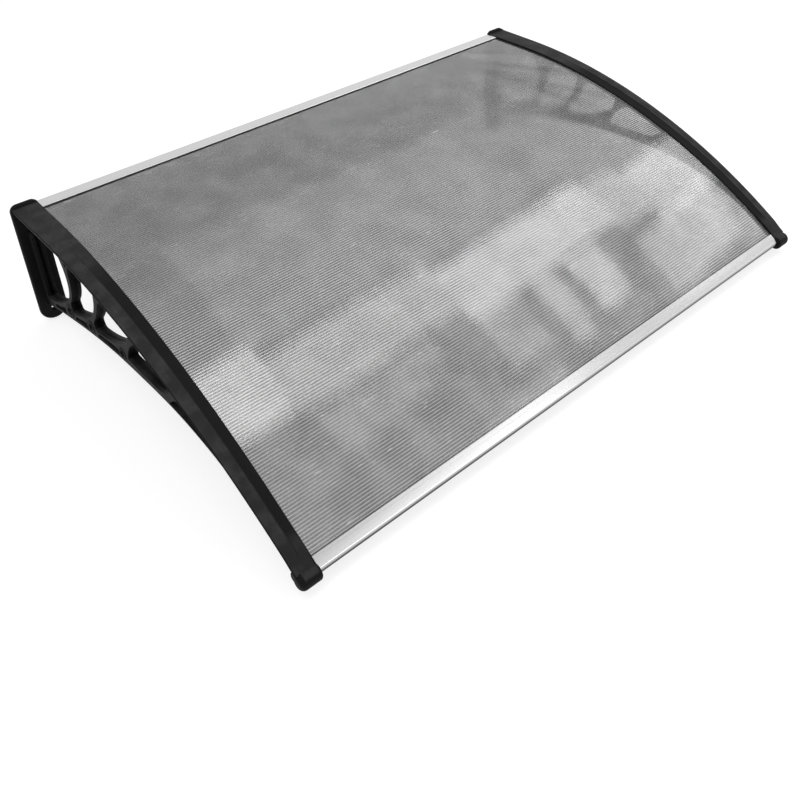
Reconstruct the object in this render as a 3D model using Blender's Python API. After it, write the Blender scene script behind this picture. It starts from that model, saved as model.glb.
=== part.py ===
"""Door canopy: two moulded side brackets carry a curved twin-wall sheet edged with two aluminium profiles.

Frame: X runs across the width, the wall is the plane Y = 0, the canopy reaches out to -Y, and Z is up.
Z = 0 is the flat rear part of the rails' top. Side views are drawn as (d, z), with d the distance from
the wall, so a drawn point lies at Y = -d. All sizes are metres.
"""

import bpy
import bmesh
from math import atan2, cos, hypot, pi, sin, sqrt
from mathutils import Matrix, Vector

# Overall sizes
WIDTH = 1.200            # across both wall plates
REACH = 0.800            # from the wall to the front of the knobs
TIP_DROP = 0.203         # how far the rail's top falls from the wall to the knob
FLAT_LENGTH = 0.105      # flat rear part of the rail, before its arc starts
CLEARANCE = 0.0003       # between pieces that touch

# Bracket rail
RAIL_WIDTH_REAR = 0.046
RAIL_WIDTH_FRONT = 0.033
FLANGE = 0.0036          # above the sheet's groove
LEDGE = 0.0030           # below the sheet's groove
RIDGE_SHARE = 0.45       # inner share of the rail's width that slopes to the sheet
RIDGE_FALL = 0.0011
RIDGE_RISES = (0.22, 0.40)    # shares of the reach between which the slope appears
RIDGE_FADES = (0.90, 0.97)    # and between which it fades at the knob
RAIL_EASE = 0.0016       # rounding of the rail's long edges
RAIL_STEPS = 30

# Bracket web: arm, tendrils and bosses
WEB_WIDTH = 0.018
STRIP_DEPTH = 0.017      # from the rail's top to the underside of the strip below it
FOOT_FLARE = 0.0060      # how far the arm's foot widens at the wall plate
INTO_PLATE = 0.0040      # from the wall to where the rail and the web start, inside the plate
PANEL_WALL = 0.006       # thickness left in the recessed panels
PANEL_RIM = 0.0042       # rim between the front panel and the arm's underside
PANEL_TOP = 0.0145       # from the rail's top to the front panel
BOSS_PROUD = 0.0010
CORNER = 0.0040          # fillets in the openings' corners
FORK_CORNER = 0.0020     # fillets in the small triangles and the panels
CORNER_SHARE = 0.4       # a fillet takes at most this share of a side

# Wall plate
PLATE_WIDTH = 0.050
PLATE_THICK = 0.0105
PLATE_LIP = 0.0050       # above the rail's top
PLATE_TONGUE = 0.04045   # below the arm's foot
PLATE_CORNER = 0.013
PLATE_EASE = 0.0012
RIB_FRONT = 0.025        # front of the plate's central rib, from the wall
RIB_TOP = 0.055          # below the rail's top
RIB_SLOPE = 0.004        # rise of the rib's top towards the plate
UPPER_HOLE = 0.040       # below the rail's top
LOWER_HOLE = 0.0165      # below the arm's foot
WALL_HOLE = 0.0080       # diameter

# Knob
KNOB_RADIUS = 0.013
KNOB_SINK = 0.0122       # of its axis below the rail's top
KNOB_EASE = 0.0045
KNOB_OVERHANG = 0.0015   # past each side of the rail
LOBE_RADIUS = 0.0088     # of the smaller roll where the arm meets the knob
LOBE_BACK = 0.0125       # of its axis behind the knob's
LOBE_DOWN = 0.0040       # and below it
LOBE_EASE = 0.0020
LOBE_INNER = 0.0080      # from the bracket's middle plane to its end beside the screw

# Sheet
SHEET_THICK = 0.0050
SHEET_SKIN = 0.0005
SHEET_RIB = 0.0006
CELL_PITCH = 0.00465
SHEET_PLAY = 0.0020      # from each edge to the bottom of its groove
SHEET_REAR = 0.0080      # from the wall

# Aluminium profiles
PROFILE_WALL = 0.0012
PROFILE_PLAY = 0.0010    # from each end to the bottom of its pocket
POCKET_BACK = 0.0007     # from a bracket's middle plane to the bottom of its pockets
REAR_COVER = 0.0270      # rear profile's top plate
REAR_LIP = 0.0220        # rear profile's bottom plate
REAR_START = 0.0045      # back of the rear profile, from the wall
REAR_HEIGHT = 0.0110
FRONT_COVER = 0.0145     # front profile's flat plate, back from its nose
FRONT_LIP = 0.0168       # its bottom plate, which the front screws hold
FRONT_NOSE = 0.0065      # radius of the nose
NOSE_BACK = 0.0008       # from the knobs' front to the front of the nose
NOSE_STEPS = 12

# Gasket under the rear profile's front edge
GASKET_THICK = 0.0008
GASKET_WIDTH = 0.0070
GASKET_SHOWN = 0.0016

# Screws that hold the profiles' ends
SCREW_SHANK = 0.0035     # diameter
SCREW_HEAD = 0.0076      # diameter
SCREW_HEAD_HIGH = 0.0024
SCREW_POINT = 0.0006     # tapered end
SCREW_HOLE = 0.0045      # depth of the holes from the heads' seat
HEAD_ROOM = 0.0008       # round each head
HEAD_WELL = 0.020        # room cleared below each head
REAR_SCREW_INSET = 0.0172     # from the bracket's middle plane, towards the sheet
FRONT_SCREW_INSET = 0.0130
REAR_SCREW_SHARE = 0.6        # along the rear profile's bottom plate
FRONT_SCREW_BACK = 0.0140     # behind the sheet's front edge

CUT_PAST = 0.004         # how far cutters run past what they cut
CUT_LAP = 0.001          # how far a pocket's cutter runs into the sheet's groove
CURVE_STEPS = 6
ROUND_STEPS = 20

TIP_D = REACH - KNOB_RADIUS
ARC_RADIUS = ((TIP_D - FLAT_LENGTH) ** 2 + TIP_DROP ** 2) / (2 * TIP_DROP)
CENTRE_X = WIDTH / 2 - PLATE_WIDTH / 2


# The rail's curve

def rail_top(d):
    """Height of the rail's top at a distance from the wall."""
    past = max(0.0, d - FLAT_LENGTH)
    return sqrt(ARC_RADIUS ** 2 - past ** 2) - ARC_RADIUS


def slope_at(d):
    """Angle of the rail below the horizontal."""
    past = max(0.0, d - FLAT_LENGTH)
    return atan2(past, sqrt(ARC_RADIUS ** 2 - past ** 2))


def below_rail(d, depth):
    """The side-view point that lies this deep under the rail's top, square to its curve."""
    angle = slope_at(d)
    return d - depth * sin(angle), rail_top(d) - depth * cos(angle)


def along_rail(length):
    """Distance from the wall of the point this far along the rail's curve."""
    if length <= FLAT_LENGTH:
        return length
    return FLAT_LENGTH + ARC_RADIUS * sin((length - FLAT_LENGTH) / ARC_RADIUS)


def length_to(d):
    """Length of the rail's curve from the wall to a distance."""
    return min(d, FLAT_LENGTH) + ARC_RADIUS * slope_at(d)


def drawn(point):
    """A point of the bracket's drawing, which is in thousandths of the reach and of the rail's fall."""
    d, z = point
    return d * REACH / 1000, z * TIP_DROP / 1000


def on_drawing(d, z):
    """The drawing's point for a real distance and height."""
    return d * 1000 / REACH, z * 1000 / TIP_DROP


def strip_under(share, depth=STRIP_DEPTH):
    """The drawing's point under the rail, at the underside of the strip below it."""
    d = share * REACH / 1000
    return on_drawing(d, below_rail(d, depth)[1])


# Outlines

def arc_through(start, via, end, steps=CURVE_STEPS):
    """Points of the circle through three points, from the first up to the last."""
    (ax, ay), (bx, by), (cx, cy) = start, via, end
    turn = 2 * (ax * (by - cy) + bx * (cy - ay) + cx * (ay - by))
    if abs(turn) < 1e-9:
        return [start, end]
    a2, b2, c2 = ax * ax + ay * ay, bx * bx + by * by, cx * cx + cy * cy
    ox = (a2 * (by - cy) + b2 * (cy - ay) + c2 * (ay - by)) / turn
    oy = (a2 * (cx - bx) + b2 * (ax - cx) + c2 * (bx - ax)) / turn
    radius = hypot(ax - ox, ay - oy)
    first = atan2(ay - oy, ax - ox)
    sweep = (atan2(cy - oy, cx - ox) - first) % (2 * pi)
    if (atan2(by - oy, bx - ox) - first) % (2 * pi) > sweep:
        sweep -= 2 * pi
    angles = [first + sweep * i / steps for i in range(steps + 1)]
    return [(ox + radius * cos(a), oy + radius * sin(a)) for a in angles]


def side(*points):
    """One side of an outline, from the drawing: a straight line through two points, or an arc through three."""
    points = [drawn(point) for point in points]
    return points if len(points) == 2 else arc_through(*points)


def trimmed(line, amount):
    """The polyline without this much of its length at each end."""
    for _ in range(2):
        left = min(amount, CORNER_SHARE * hypot(line[-1][0] - line[0][0], line[-1][1] - line[0][1]))
        while len(line) > 2 and hypot(line[1][0] - line[0][0], line[1][1] - line[0][1]) <= left:
            left -= hypot(line[1][0] - line[0][0], line[1][1] - line[0][1])
            line = line[1:]
        (ax, ay), (bx, by) = line[0], line[1]
        share = left / hypot(bx - ax, by - ay)
        line = [(ax + share * (bx - ax), ay + share * (by - ay))] + line[1:]
        line = line[::-1]
    return line


def rounded_loop(sides, corner=CORNER):
    """A closed outline whose sides meet in rounded corners."""
    ends = [line[0] for line in sides]
    lines = [trimmed(line, corner) for line in sides]
    points = []
    for i, line in enumerate(lines):
        points += line
        tip = ends[(i + 1) % len(ends)]
        a, b = line[-1], lines[(i + 1) % len(lines)][0]
        for t in (0.33, 0.67):
            points.append(tuple((1 - t) ** 2 * a[k] + 2 * t * (1 - t) * tip[k] + t * t * b[k] for k in (0, 1)))
    return points


def curve_through(points, steps=3):
    """A smooth line through hand-set points, after Catmull and Rom."""
    padded = [points[0]] + list(points) + [points[-1]]
    line = []
    for p0, p1, p2, p3 in zip(padded, padded[1:], padded[2:], padded[3:]):
        for i in range(steps):
            t = i / steps
            line.append(tuple(
                0.5 * (2 * p1[k] + (p2[k] - p0[k]) * t + (2 * p0[k] - 5 * p1[k] + 4 * p2[k] - p3[k]) * t ** 2
                       + (3 * p1[k] - p0[k] - 3 * p2[k] + p3[k]) * t ** 3) for k in (0, 1)))
    return line + [points[-1]]


# Drawing of the bracket, seen from the side

ARM_UNDERSIDE = [(31, -983), (88, -916), (145, -857), (257, -754),
                 (371, -675), (485, -635), (597, -617), (682, -640),
                 (768, -704), (867, -847), (952, -1034), (975, -1099)]

BOSSES = [((162, -750), 0.0072, 0.0140),
          ((274, -660), 0.0063, 0.0127),
          ((418, -579), 0.0058, 0.0114)]


def arm_underside():
    """The arm's lower edge, from the wall plate's rib to the knob."""
    foot = (RIB_FRONT, drawn(ARM_UNDERSIDE[0])[1])
    return curve_through([foot] + [drawn(point) for point in ARM_UNDERSIDE[1:]])


def rail_opening():
    """The large opening between the wall plate and the first tendril."""
    top = strip_under(161)
    foot = on_drawing(RIB_FRONT, drawn((0, -887))[1])
    rib = on_drawing(RIB_FRONT, -RIB_TOP)
    above_rib = on_drawing(PLATE_THICK, -RIB_TOP + RIB_SLOPE)
    corner = on_drawing(PLATE_THICK, -STRIP_DEPTH)
    return [side(foot, rib), side(rib, above_rib), side(above_rib, corner), side(corner, top),
            side(top, (195, -355), (146, -690)), side((146, -690), (95, -805), foot)]


def tendril_openings():
    """The three openings between the tendrils, from the wall outwards."""
    second = [side(strip_under(257), strip_under(331)),
              side(strip_under(331), (310, -419), (241, -635)),
              side((241, -635), (215, -680), (185, -724)),
              side((185, -724), (180, -675), (179, -635)),
              side((179, -635), (204, -488), (212, -276)),
              side((212, -276), (229, -160), strip_under(257))]
    third = [side(strip_under(393), strip_under(462)),
             side(strip_under(462), (461, -335), (434, -443)),
             side((434, -443), (375, -559), (302, -638)),
             side((302, -638), (296, -601), (296, -557)),
             side((296, -557), (325, -414), (341, -296)),
             side((341, -296), (360, -217), strip_under(393))]
    fourth = [side(strip_under(516), strip_under(622)),
              side(strip_under(622), (587, -525), (531, -564)),
              side((531, -564), (488, -574), (441, -575)),
              side((441, -575), (455, -453), (479, -352)),
              side((479, -352), (496, -305), strip_under(516))]
    return [second, third, fourth]


def fork_openings():
    """The small triangles where each tendril forks below the rail."""
    return [[side(strip_under(185), strip_under(238)),
             side(strip_under(238), (221, -143), (209, -222)),
             side((209, -222), (200, -143), strip_under(185))],
            [side(strip_under(348), strip_under(377)),
             side(strip_under(377), (363, -182), (349, -236)),
             side((349, -236), (349, -182), strip_under(348))],
            [side(strip_under(484), strip_under(507)),
             side(strip_under(507), (494, -281), (481, -320)),
             side((481, -320), (483, -281), strip_under(484))]]


def arm_panels():
    """The recessed panels: three along the arm and the long triangle in front."""
    start, nose = 662, 900
    arm = [on_drawing(d, z + PANEL_RIM) for d, z in arm_underside()]
    low = [point for point in arm if 588 < point[0] < nose]
    top = [strip_under(nose + (start - nose) * i / 8, PANEL_TOP) for i in range(9)]
    front = [[drawn(p) for p in low], side(low[-1], top[0]), [drawn(p) for p in top], side(top[-1], (625, -502), low[0])]
    first = [side((71, -909), (137, -842)), side((137, -842), (132, -778)),
             side((132, -778), (106, -833), (74, -867)), side((74, -867), (71, -909))]
    second = [side((187, -788), (256, -729)), side((256, -729), (248, -680)),
              side((248, -680), (191, -749)), side((191, -749), (187, -788))]
    third = [side((302, -692), (401, -633)), side((401, -633), (399, -586)),
             side((399, -586), (356, -608), (306, -658)), side((306, -658), (302, -692))]
    return [first, second, third, front]


def web_outline():
    """The web's outer edge: inside the rail, round by the knob, and back along the arm to the wall plate."""
    inside = FLANGE + SHEET_THICK
    top = [below_rail(INTO_PLATE + (TIP_D - INTO_PLATE) * i / 12, inside) for i in range(12)]
    tip = (TIP_D, rail_top(TIP_D) - KNOB_SINK)
    under = arm_underside()[::-1]
    foot = [(PLATE_THICK, under[-1][1] - FOOT_FLARE), (INTO_PLATE, under[-1][1] - FOOT_FLARE)]
    return top + [tip] + under + foot


# Meshes

def new_object(name, mesh_source, material=None):
    """An object from a bmesh, with its faces turned outwards."""
    bmesh.ops.recalc_face_normals(mesh_source, faces=mesh_source.faces)
    mesh = bpy.data.meshes.new(name)
    mesh_source.to_mesh(mesh)
    mesh_source.free()
    made = bpy.data.objects.new(name, mesh)
    bpy.context.scene.collection.objects.link(made)
    if material:
        mesh.materials.append(material)
    return made


def helper(name, mesh_source):
    """An object that only cuts or joins, kept out of renders."""
    made = new_object(name, mesh_source)
    made.hide_render = True
    made.display_type = "WIRE"
    return made


def combine(target, operation, other):
    """Cuts the other object from the target, or joins it on."""
    modifier = target.modifiers.new(other.name, "BOOLEAN")
    modifier.operation = operation
    modifier.solver = "EXACT"
    modifier.object = other


def add_prism(target, outline, low_x, high_x):
    """Adds a side-view outline extruded across X."""
    rings = [[target.verts.new((x, -d, z)) for d, z in outline] for x in (low_x, high_x)]
    target.faces.new(rings[0])
    target.faces.new(rings[1][::-1])
    for i in range(len(outline)):
        j = (i + 1) % len(outline)
        target.faces.new((rings[0][i], rings[0][j], rings[1][j], rings[1][i]))


def add_turned(target, profile, centre, axis, steps=ROUND_STEPS):
    """Adds a solid turned from (along, radius) pairs, whose first and last lie on the axis."""
    turn = Vector((0, 0, 1)).rotation_difference(Vector(axis)).to_matrix()
    place = Vector(centre)
    ends = [target.verts.new(place + turn @ Vector((0, 0, profile[i][0]))) for i in (0, -1)]
    rings = []
    for along, radius in profile[1:-1]:
        angles = [2 * pi * i / steps for i in range(steps)]
        rings.append([target.verts.new(place + turn @ Vector((radius * cos(a), radius * sin(a), along))) for a in angles])
    for i in range(steps):
        j = (i + 1) % steps
        target.faces.new((ends[0], rings[0][j], rings[0][i]))
        target.faces.new((ends[1], rings[-1][i], rings[-1][j]))
        for lower, upper in zip(rings, rings[1:]):
            target.faces.new((lower[i], lower[j], upper[j], upper[i]))


def eased_roll(length, radius, ease, steps=3):
    """Profile of a round bar with rounded end edges."""
    turns = [pi / 2 * i / steps for i in range(steps + 1)]
    start = [(ease - ease * cos(a), radius - ease + ease * sin(a)) for a in turns]
    finish = [(length - ease + ease * sin(a), radius - ease + ease * cos(a)) for a in turns]
    return [(0, 0)] + start + finish + [(length, 0)]


def filled_curve(name, loops, low_x, high_x, ease, plane):
    """A bmesh of flat loops, the first the outer edge and the rest holes, extruded with eased edges."""
    curve = bpy.data.curves.new(name, "CURVE")
    curve.dimensions = "2D"
    curve.fill_mode = "BOTH"
    curve.extrude = abs(high_x - low_x) / 2 - ease
    curve.bevel_depth = ease
    curve.bevel_resolution = 0
    curve.offset = -ease
    for loop in loops:
        spline = curve.splines.new("POLY")
        spline.points.add(len(loop) - 1)
        for point, (u, v) in zip(spline.points, loop):
            point.co = (u, v, 0, 1)
        spline.use_cyclic_u = True
    made = bpy.data.objects.new(name, curve)
    bpy.context.scene.collection.objects.link(made)
    bpy.context.view_layer.update()
    mesh = bpy.data.meshes.new_from_object(made)
    result = bmesh.new()
    result.from_mesh(mesh)
    bmesh.ops.remove_doubles(result, verts=result.verts, dist=1e-6)
    result.transform(plane)
    bpy.data.objects.remove(made)
    bpy.data.curves.remove(curve)
    bpy.data.meshes.remove(mesh)
    return result


def side_plane(x):
    """Turns a flat drawing (d, z) into the side view at this X."""
    return Matrix(((0, 0, 1, x), (-1, 0, 0, 0), (0, 1, 0, 0), (0, 0, 0, 1)))


def front_plane(d):
    """Turns a flat drawing (x, z) into the front view at this distance from the wall."""
    return Matrix(((1, 0, 0, 0), (0, 0, -1, -d), (0, 1, 0, 0), (0, 0, 0, 1)))


# Materials

def material(name, colour, roughness, metallic=0.0, transmission=0.0):
    made = bpy.data.materials.new(name)
    made.use_nodes = True
    shader = made.node_tree.nodes["Principled BSDF"]
    shader.inputs["Base Color"].default_value = (*colour, 1)
    shader.inputs["Roughness"].default_value = roughness
    shader.inputs["Metallic"].default_value = metallic
    shader.inputs["Transmission Weight"].default_value = transmission
    made.diffuse_color = (*colour, 1)
    return made


# The bracket

def rail_width(d):
    return RAIL_WIDTH_REAR + (RAIL_WIDTH_FRONT - RAIL_WIDTH_REAR) * d / REACH


def eased_in(value, start, end):
    t = min(1.0, max(0.0, (value - start) / (end - start)))
    return t * t * (3 - 2 * t)


def rail_section(d):
    """(across, depth) points of the rail's section; across runs from its outer edge to its inner edge."""
    width, ease = rail_width(d), RAIL_EASE
    share = d / REACH
    fall = RIDGE_FALL * eased_in(share, *RIDGE_RISES) * (1 - eased_in(share, *RIDGE_FADES))
    depth = FLANGE + SHEET_THICK + 2 * CLEARANCE + LEDGE
    return [(0, depth - ease), (0, ease), (ease * 0.3, ease * 0.3), (ease, 0), (width * (1 - RIDGE_SHARE), 0),
            (width - ease * 0.8, fall), (width, fall + ease * 0.8), (width, depth - ease * 0.5),
            (width - ease * 0.5, depth), (ease, depth)]


def rail_mesh(hand):
    """The rail, lofted along its curve while its width tapers."""
    made = bmesh.new()
    start, end = length_to(INTO_PLATE), length_to(TIP_D - 0.001)
    rings = []
    for i in range(RAIL_STEPS + 1):
        d = along_rail(start + (end - start) * i / RAIL_STEPS)
        ring = []
        for across, depth in rail_section(d):
            point_d, z = below_rail(d, depth)
            x = CENTRE_X + rail_width(d) / 2 - across
            ring.append(made.verts.new((hand * x, -point_d, z)))
        rings.append(ring)
    count = len(rings[0])
    for near, far in zip(rings, rings[1:]):
        for i in range(count):
            j = (i + 1) % count
            made.faces.new((near[i], near[j], far[j], far[i]))
    made.faces.new(rings[0][::-1])
    made.faces.new(rings[-1])
    return made


def sheet_section(start, end, upper, lower, steps):
    """A band between two depths under the rail's top, from one distance to another."""
    first, last = length_to(start), length_to(end)
    distances = [along_rail(first + (last - first) * i / steps) for i in range(steps + 1)]
    return [below_rail(d, upper) for d in distances] + [below_rail(d, lower) for d in distances[::-1]]


def across(hand, near, far):
    """The X range between two distances from the middle, on the bracket's side."""
    return sorted((hand * near, hand * far))


def bracket(hand, name, plastic):
    """One bracket. hand is -1 for the left one and +1 for the right one."""
    body = new_object(name, rail_mesh(hand), plastic)
    parts = name + "_"

    loops = [web_outline()] + [rounded_loop(sides) for sides in [rail_opening()] + tendril_openings()]
    loops += [rounded_loop(sides, FORK_CORNER) for sides in fork_openings()]
    web = filled_curve(parts + "web", loops, -WEB_WIDTH / 2, WEB_WIDTH / 2, 0, side_plane(hand * CENTRE_X))
    combine(body, "UNION", helper(parts + "web", web))

    arm_foot = drawn(ARM_UNDERSIDE[0])[1]
    plate_foot = arm_foot - PLATE_TONGUE
    corners = []
    for cx, cz, radius, first in ((1, PLATE_LIP, PLATE_CORNER, 0), (-1, PLATE_LIP, PLATE_CORNER, 1),
                                  (-1, plate_foot, PLATE_WIDTH / 2 - 1e-4, 2), (1, plate_foot, PLATE_WIDTH / 2 - 1e-4, 3)):
        middle = (cx * (PLATE_WIDTH / 2 - radius), cz - radius if cz > 0 else cz + radius)
        turns = [pi / 2 * (first + i / 6) for i in range(7)]
        corners += [(hand * CENTRE_X + middle[0] + radius * cos(a), middle[1] + radius * sin(a)) for a in turns]
    plate = filled_curve(parts + "plate", [corners], 0, PLATE_THICK, PLATE_EASE, front_plane(PLATE_THICK / 2))
    combine(body, "UNION", helper(parts + "plate", plate))

    rolls = bmesh.new()
    length = RAIL_WIDTH_FRONT + 2 * KNOB_OVERHANG
    knob_at = (CENTRE_X * hand - length / 2, -TIP_D, rail_top(TIP_D) - KNOB_SINK)
    add_turned(rolls, eased_roll(length, KNOB_RADIUS, KNOB_EASE), knob_at, (1, 0, 0))
    boss_length = WEB_WIDTH + 2 * BOSS_PROUD
    for centre, _, ring in BOSSES:
        d, z = drawn(centre)
        place = (CENTRE_X * hand - boss_length / 2, -d, z)
        add_turned(rolls, eased_roll(boss_length, ring, BOSS_PROUD, 1), place, (1, 0, 0))
    combine(body, "UNION", helper(parts + "rolls", rolls))

    lobe = bmesh.new()
    low, high = across(hand, CENTRE_X - LOBE_INNER, CENTRE_X + RAIL_WIDTH_FRONT / 2)
    lobe_at = (low, -TIP_D + LOBE_BACK, knob_at[2] - LOBE_DOWN)
    add_turned(lobe, eased_roll(high - low, LOBE_RADIUS, LOBE_EASE, 1), lobe_at, (1, 0, 0))
    combine(body, "UNION", helper(parts + "lobe", lobe))

    groove = bmesh.new()
    top, bottom = FLANGE, FLANGE + SHEET_THICK + 2 * CLEARANCE
    inner = CENTRE_X - RAIL_WIDTH_REAR
    add_prism(groove, sheet_section(SHEET_REAR - CUT_LAP, front_edge() - PROFILE_WALL, top, bottom, RAIL_STEPS),
              *across(hand, CENTRE_X, inner))
    combine(body, "DIFFERENCE", helper(parts + "groove", groove))

    for label, outline in (("rear_pocket", rear_pocket()), ("front_pocket", front_pocket())):
        pocket = bmesh.new()
        add_prism(pocket, outline, *across(hand, CENTRE_X - POCKET_BACK, inner))
        combine(body, "DIFFERENCE", helper(parts + label, pocket))

    cuts = bmesh.new()
    outer = WEB_WIDTH / 2 + CUT_PAST
    for sides in arm_panels():
        outline = rounded_loop(sides, FORK_CORNER)
        for low, high in ((PANEL_WALL / 2, outer), (-outer, -PANEL_WALL / 2)):
            add_prism(cuts, outline, hand * CENTRE_X + low, hand * CENTRE_X + high)
    for centre, hole, _ in BOSSES:
        d, z = drawn(centre)
        half = boss_length / 2 + CUT_PAST
        add_turned(cuts, [(-half, 0), (-half, hole), (half, hole), (half, 0)], (hand * CENTRE_X, -d, z), (1, 0, 0), 20)
    for z in (-UPPER_HOLE, arm_foot - LOWER_HOLE):
        radius, end = WALL_HOLE / 2, PLATE_THICK + CUT_PAST
        add_turned(cuts, [(-CUT_PAST, 0), (-CUT_PAST, radius), (end, radius), (end, 0)],
                   (hand * CENTRE_X, 0, z), (0, -1, 0), 20)
    for place, axis in screw_places(hand):
        radius, head = SCREW_SHANK / 2 + CLEARANCE, SCREW_HEAD / 2 + HEAD_ROOM
        add_turned(cuts, [(-HEAD_WELL, 0), (-HEAD_WELL, head), (-CLEARANCE, head),
                          (-CLEARANCE, radius), (SCREW_HOLE, radius), (SCREW_HOLE, 0)], place, axis, 16)
    combine(body, "DIFFERENCE", helper(parts + "cuts", cuts))
    return body


# The sheet, the profiles, the gasket and the screws

def front_edge():
    """Distance of the sheet's front edge from the wall: the back of the front profile's nose wall."""
    return REACH - NOSE_BACK - FRONT_NOSE - PROFILE_WALL


def sheet(polycarbonate):
    """Twin-wall sheet: two skins and a rib between each pair of cells, all open at both ends."""
    made = bmesh.new()
    top = FLANGE + CLEARANCE
    first, last = length_to(SHEET_REAR), length_to(front_edge() - PROFILE_WALL - CLEARANCE)
    cells = max(2, round((last - first) / CELL_PITCH))
    half = CENTRE_X - SHEET_PLAY
    depths = (top, top + SHEET_SKIN, top + SHEET_THICK - SHEET_SKIN, top + SHEET_THICK)

    def column(length, chosen):
        d = along_rail(length)
        return [[made.verts.new((x, -below_rail(d, depth)[0], below_rail(d, depth)[1])) for depth in chosen]
                for x in (-half, half)]

    pitch = (last - first) / cells
    edges = [column(first + pitch * i, (depths[0], depths[3])) for i in range(cells + 1)]
    for i in range(cells):
        near = column(first + pitch * i + SHEET_RIB / 2, depths[1:3])
        far = column(first + pitch * (i + 1) - SHEET_RIB / 2, depths[1:3])
        loops = [(edges[i][e][0], edges[i + 1][e][0], edges[i + 1][e][1], edges[i][e][1]) for e in (0, 1)]
        holes = [(near[e][0], far[e][0], far[e][1], near[e][1]) for e in (0, 1)]
        for k in range(4):
            j = (k + 1) % 4
            made.faces.new((holes[0][k], holes[0][j], holes[1][j], holes[1][k]))
            for e in (0, 1):
                made.faces.new((loops[e][k], loops[e][j], holes[e][j], holes[e][k]))
        for k in (0, 2):
            made.faces.new((loops[0][k], loops[0][k + 1], loops[1][k + 1], loops[1][k]))
    for column_ends in (edges[0], edges[-1]):
        made.faces.new((column_ends[0][0], column_ends[0][1], column_ends[1][1], column_ends[1][0]))
    return new_object("canopy_sheet", made, polycarbonate)


def plate_top():
    """Depth of the front profile's top face under the rail's top."""
    return FLANGE - PROFILE_WALL


def rear_outline(grow=0.0):
    """Section of the rear profile: a channel with a short leg down the wall."""
    w = PROFILE_WALL + 2 * grow
    top = plate_top() - GASKET_THICK - CLEARANCE - grow
    shelf = FLANGE + SHEET_THICK + 2 * CLEARANCE - grow
    back, front, lip = REAR_START - grow, REAR_START + REAR_COVER + grow, REAR_START + REAR_LIP + grow
    return [(back, -top), (front, -top), (front, -top - w), (back + w, -top - w), (back + w, -shelf),
            (lip, -shelf), (lip, -shelf - w), (back + w, -shelf - w), (back + w, -top - REAR_HEIGHT - grow),
            (back, -top - REAR_HEIGHT - grow)]


def rear_pocket():
    """The room that a bracket leaves for the rear profile's end."""
    top = plate_top() - GASKET_THICK - CLEARANCE - CLEARANCE
    bottom = FLANGE + SHEET_THICK + 2 * CLEARANCE + PROFILE_WALL + CLEARANCE
    back = REAR_START - CLEARANCE
    return [(back, -top), (REAR_START + REAR_COVER + CLEARANCE, -top),
            (REAR_START + REAR_COVER + CLEARANCE, -FLANGE - CLEARANCE), (REAR_START + REAR_LIP + CLEARANCE, -FLANGE - CUT_LAP),
            (REAR_START + REAR_LIP + CLEARANCE, -bottom), (REAR_START + PROFILE_WALL + CLEARANCE, -bottom),
            (REAR_START + PROFILE_WALL + CLEARANCE, -top - REAR_HEIGHT - CLEARANCE), (back, -top - REAR_HEIGHT - CLEARANCE)]


def nose_point(angle, radius, middle_depth):
    """A point round the front profile's nose, in the frame of the rail at its middle."""
    d, z = below_rail(front_edge(), middle_depth)
    turn = slope_at(front_edge())
    forward, up = radius * cos(angle), radius * sin(angle)
    return d + forward * cos(turn) + up * sin(turn), z - forward * sin(turn) + up * cos(turn)


def front_pieces(grow=0.0):
    """Outline of the front profile: a plate over the sheet, a round nose and a shelf under the sheet."""
    top = plate_top() - grow
    shelf = FLANGE + SHEET_THICK + 2 * CLEARANCE - grow
    w = PROFILE_WALL + 2 * grow
    radius = FRONT_NOSE + grow
    middle = plate_top() + FRONT_NOSE
    start, lip = front_edge() - FRONT_COVER - grow, front_edge() - FRONT_LIP - grow
    spots = [start + (front_edge() - start) * i / 3 for i in range(4)]
    nose = [nose_point(pi / 2 - pi * i / NOSE_STEPS, radius, middle) for i in range(NOSE_STEPS + 1)]
    return top, shelf, w, middle, spots, lip, nose


def front_profile_outline():
    """The whole section of the front profile, with the sheet's channel open to the rear."""
    top, shelf, w, middle, spots, lip, nose = front_pieces()
    above = [below_rail(d, top) for d in spots[:-1]]
    under = [below_rail(d, top + w) for d in spots[::-1]]
    inner_wall = front_edge() - PROFILE_WALL
    under[0] = below_rail(inner_wall, top + w)
    lips = [below_rail(inner_wall, shelf), below_rail(lip, shelf), below_rail(lip, shelf + w)]
    low = below_rail(inner_wall, shelf + w)
    foot = [below_rail(inner_wall, middle + FRONT_NOSE)]
    return above + nose + foot + [low] + lips[::-1] + under[:1] + under[1:]


def front_pocket():
    """The room that a bracket leaves for the front profile's end."""
    grow = CLEARANCE
    top, shelf, w, middle, spots, lip, nose = front_pieces(grow)
    back = [below_rail(spots[0], FLANGE + CUT_LAP), below_rail(spots[0], top)]
    above = [below_rail(d, top) for d in spots[1:-1]]
    inner_wall = front_edge() - PROFILE_WALL - grow
    foot = [below_rail(inner_wall, middle + FRONT_NOSE + grow), below_rail(inner_wall, shelf + w)]
    return back + above + nose + foot + [below_rail(lip, shelf + w), below_rail(lip, shelf - CUT_LAP)]


def nose_chamber():
    """The hollow in the front profile's nose."""
    middle = plate_top() + FRONT_NOSE
    radius = FRONT_NOSE - PROFILE_WALL
    turns = [pi / 2 - pi * i / NOSE_STEPS for i in range(NOSE_STEPS + 1)]
    return [nose_point(turn, radius, middle) for turn in turns]


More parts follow.
